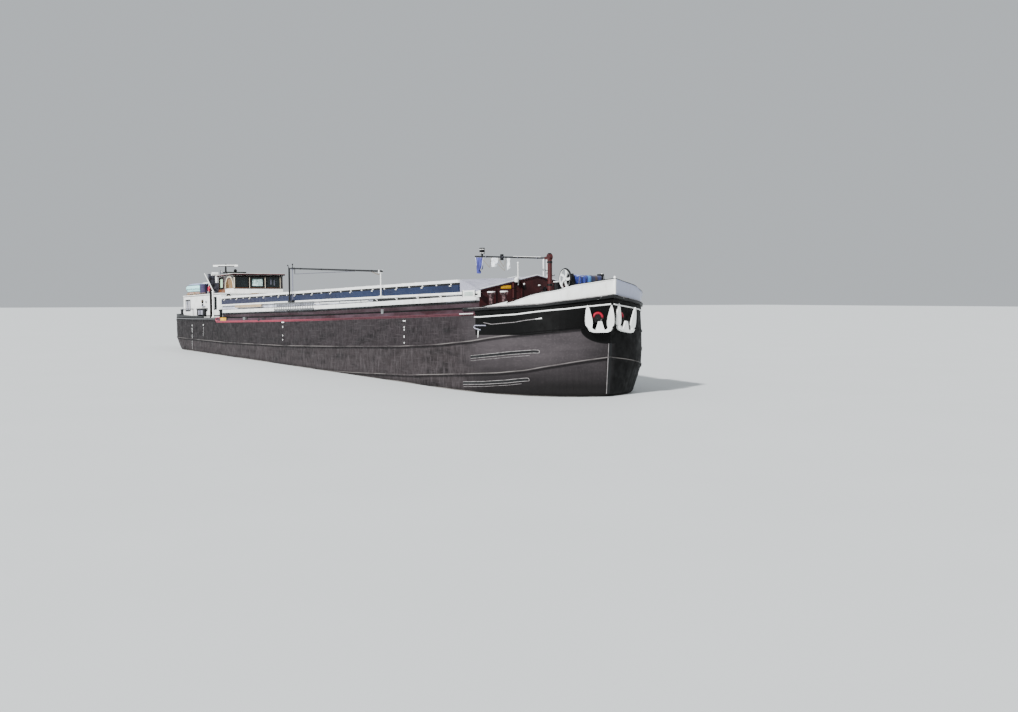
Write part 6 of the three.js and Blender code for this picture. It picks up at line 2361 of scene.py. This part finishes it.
@dataclass
class Tender:
    """The ship's boat on the deckhouse roof and its cloth cover."""

    x: float = -16.43
    y: float = -1.44
    length: float = 2.6
    half: float = 0.5
    low: float = 3.7224
    high: float = 4.1224

    def outline(self, scale: float, grow: float, z: float, steps: int = 48) -> list[Point]:
        """The boat's outline at a height.

        Args:
            scale: Its size against the gunwale's.
            grow: How far it stands out of that.
            z: The height.
            steps: How many points it has.

        Returns:
            The outline's points.
        """
        made = []
        for c, s in circle(steps):
            u = (self.length / 2 + grow) * scale * math.copysign(abs(c) ** 0.8, c)
            v = (self.half + grow) * scale * math.copysign(abs(s) ** 0.8, s)
            made.append((self.x + u, self.y + v, z))
        return made

    def build(self) -> None:
        """Build the gunwale, the chocks and the cover."""
        rail = Shape().tube(self.outline(1.0, 0.012, self.high - 0.02), 0.018, BLUE, closed=True)
        rail.tube(self.outline(0.93, 0.008, self.high - 0.21), 0.012, SLATE, 8, closed=True)
        rail.piece("tender_rails")
        chocks = Shape()
        for x in (self.x - 0.6, self.x + 0.6):
            for y in (self.y - 0.41, self.y + 0.41):
                low, high = (x - 0.05, y - 0.04, self.low), (x + 0.05, y + 0.04, self.low + 0.14)
                chocks.box(low, high, BOARDS, 0.006)
        chocks.piece("tender_chocks", slot="wood")
        self.cover()

    def cover(self) -> None:
        """The pale cloth cover, laced under the gunwale and tented over a ridge."""
        profile = (
            (1.0, 0.03, -0.06), (1.0, 0.032, -0.01), (0.99, 0.02, 0.05), (0.96, 0.01, 0.1), (0.91, 0.0, 0.14),
            (0.8, 0.0, 0.175), (0.6, 0.0, 0.205), (0.35, 0.0, 0.225), (0.12, 0.0, 0.235), (0.02, 0.0, 0.237),
        )
        steps = 96
        turns = [2 * math.pi * i / steps for i in range(steps)]
        creases = [0.008 * math.sin(13 * turn) + 0.005 * math.sin(29 * turn + 1.0) for turn in turns]
        sections = []
        for scale, grow, lift in profile:
            share = (1.0 if lift < 0.05 else 0.5) * (0.3 if scale < 0.2 else 1.0)
            ring = self.outline(scale, grow, self.high + 0.002 + lift, steps)
            sections.append([(x, y, z + crease * share) for (x, y, z), crease in zip(ring, creases)])
        made = Shape().ribbon(sections, TARPAULIN, open_start=True).piece("tender_cloth_cover")
        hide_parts("tender_cover")


@dataclass
class SternGear:
    """Small gear at the stern: fairleads and steps."""

    fairleads: tuple[tuple[float, float], ...] = ((-17.2, -2.28), (-18.75, -1.3))
    steps_aft: float = -17.86
    steps_fore: float = -17.7

    def build(self) -> None:
        """Build the stern's fittings."""
        fairleads = Shape()
        horn = [(0.035, 0.0), (0.03, 0.08), (0.045, 0.1), (0.03, 0.12), (0.0, 0.122)]
        for x, y in self.fairleads:
            deck = deck_height(x)
            fairleads.box((x - 0.16, y + 0.06, deck - 0.002), (x + 0.16, y + 0.16, deck + 0.03), DARK, 0.006)
            for end in (-0.1, 0.1):
                fairleads.turned(horn, (x + end, y + 0.11, deck + 0.025), Axis.Z, DARK, 14)
        fairleads.mirrored().piece("stern_fairleads")
        steps, aft, fore = Shape(), self.steps_aft, self.steps_fore
        for index in range(3):
            z = 2.78 + 0.24 * index
            steps.box((aft, -0.95, z), (fore, -0.55, z + 0.03), TEAK, 0.006)
        for y in (-0.97, -0.53):
            steps.box((aft, y - 0.015, 2.64), (fore, y + 0.015, 3.3), TEAK, 0.005)
        steps.piece("stern_steps", slot="varnish")


# Camera, light and floor


@dataclass
class Studio:
    """The view of the photograph, with soft light and a pale floor at the water."""

    focal: float = 1150.0
    width: float = 1018.0
    place: tuple[float, float, float] = (44.44, -18.0, 2.376)
    heading: tuple[float, float] = (-0.8636, 0.5042)
    pitch: float = 2.887

    def build(self) -> None:
        """Make the camera, the lights and the floor."""
        keel = Vector((1.0, 0.0, WATER_SLOPE)).normalized()
        up = Vector((-WATER_SLOPE, 0.0, 1.0)).normalized()
        across = Vector((0.0, 1.0, 0.0))
        fall = math.radians(self.pitch)
        forward = (keel * self.heading[0] + across * self.heading[1]) * math.cos(fall) - up * math.sin(fall)
        forward.normalize()
        right = forward.cross(up).normalized()
        above = right.cross(forward)
        data = bpy.data.cameras.new("view")
        data.sensor_width = 36.0
        data.lens = 36.0 * self.focal / self.width
        data.clip_end = 2000.0
        camera = link_object("view", data)
        turn = Matrix((right, above, -forward)).transposed().to_4x4()
        camera.matrix_world = Matrix.Translation(self.place) @ turn
        bpy.context.scene.camera = camera
        self.light("key", (17.0, -35.0, 27.0), 7.0, 3.0)
        self.light("fill", (40.0, 4.0, 22.0), 0.35, 40.0)
        self.world()
        self.floor()

    def light(self, name: str, way: Point, strength: float, angle: float) -> None:
        """Add a soft light from far away.

        Args:
            name: Its name.
            way: Where it comes from.
            strength: Its strength.
            angle: How wide it is, in degrees.
        """
        data = bpy.data.lights.new(name, "SUN")
        data.energy = strength
        data.angle = math.radians(angle)
        lamp = link_object(name, data)
        lamp.rotation_euler = (-Vector(way)).to_track_quat("-Z", "Y").to_euler()
        lamp.location = way

    def world(self) -> None:
        """Give the room a pale, even light."""
        world = bpy.data.worlds.new("pale_room")
        world.use_nodes = True
        sky = world.node_tree.nodes["Background"]
        sky.inputs[0].default_value = linear("dfe5ea")
        sky.inputs[1].default_value = 0.75
        bpy.context.scene.world = world

    def floor(self) -> None:
        """Lay the pale floor at the water's height."""
        reach = 300.0
        ends = ((-reach, -reach), (reach, -reach), (reach, reach), (-reach, reach))
        corners = [(x, y, water_height(x)) for x, y in ends]
        mesh = bpy.data.meshes.new("floor")
        mesh.from_pydata(corners, [], [(0, 1, 2, 3)])
        coat = Coat("pale_floor")
        mesh.materials.append(coat.finish(coat.mix(coat.noise(3.0), "d9dcdc", "d3d6d6"), 0.55))
        link_object("floor", mesh)


# The model's own nodes by finish
NODE_FINISHES: dict[Finish, tuple[str, ...]] = {
    HULL: ("hull_fore", "hull_middle", "hull_aft", "side_deck_starboard", "side_deck_port"),
    COAMING: ("coaming_starboard", "coaming_port"),
    GABLE: ("coaming_fore", "coaming_aft"),
    COVER: ("hatch_1", "hatch_2", "hatch_3", "hatch_4", "hatch_5"),
    GREY: ("hatch_apron",),
    WHITE: (
        "deckhouse", "deckhouse_roof", "wheelhouse_roof", "anchor_starboard", "anchor_port", "mast_rest",
        "vent_cowl",
    ),
    BULWARK_WITH_PORT_SHADE: ("bulwark_fore",),
    SCANNER: ("radar_scanner",),
    FRAME: ("mast_frame",),
    WHEEL: ("flywheel",),
    TENDER: ("tender",),
    BLACK: ("rub_rail_fore", "bulwark_stern"),
    TEAK: ("cabin_door", "helm_console"),
    DOOR: ("wheelhouse_door_starboard", "wheelhouse_door_port"),
    TEAK_UPRIGHT: ("wheelhouse",),
    BOARDS: ("wheelhouse_floor", "steering_wheel"),
    GLASS: ("glass_front", "glass_aft", "glass_starboard", "glass_port"),
    ENGINE_GREEN: ("engine",),
    BRONZE: ("propeller",),
    MAST_BROWN: ("fore_mast",),
    BOLLARD: ("bollards_fore_starboard", "bollards_fore_port"),
    DARK: (
        "rudder", "signal_mast", "windlass", "bollards_stern_starboard", "bollards_stern_port",
        "lowered_mast", "radar_platform",
    ),
    STACK: ("vent_stack",),
    TARPAULIN: ("tender_cover",),
}


def dress_nodes() -> None:
    """Give every node of the model its finish."""
    for finish, nodes in NODE_FINISHES.items():
        for node in nodes:
            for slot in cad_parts[node].material_slots:
                slot.link = "OBJECT"
                slot.material = finish.material()


def main() -> None:
    """Build the whole scene in order."""
    logging.basicConfig(level=logging.INFO, format="%(message)s")
    Studio().build()
    dress_nodes()
    hull = Surface(("hull_fore", "hull_middle", "hull_aft", "side_deck_starboard", "side_deck_port"))
    for part in (
        HatchCovers(), Coamings(), SheerMarks(hull), Gable(), BowDress(hull), Foredeck(), SignalMast(),
        LoweredMast(), Deckhouse(), Wheelhouse(), Tender(), SternGear(),
    ):
        part.build()


if __name__ == "__main__":
    main()
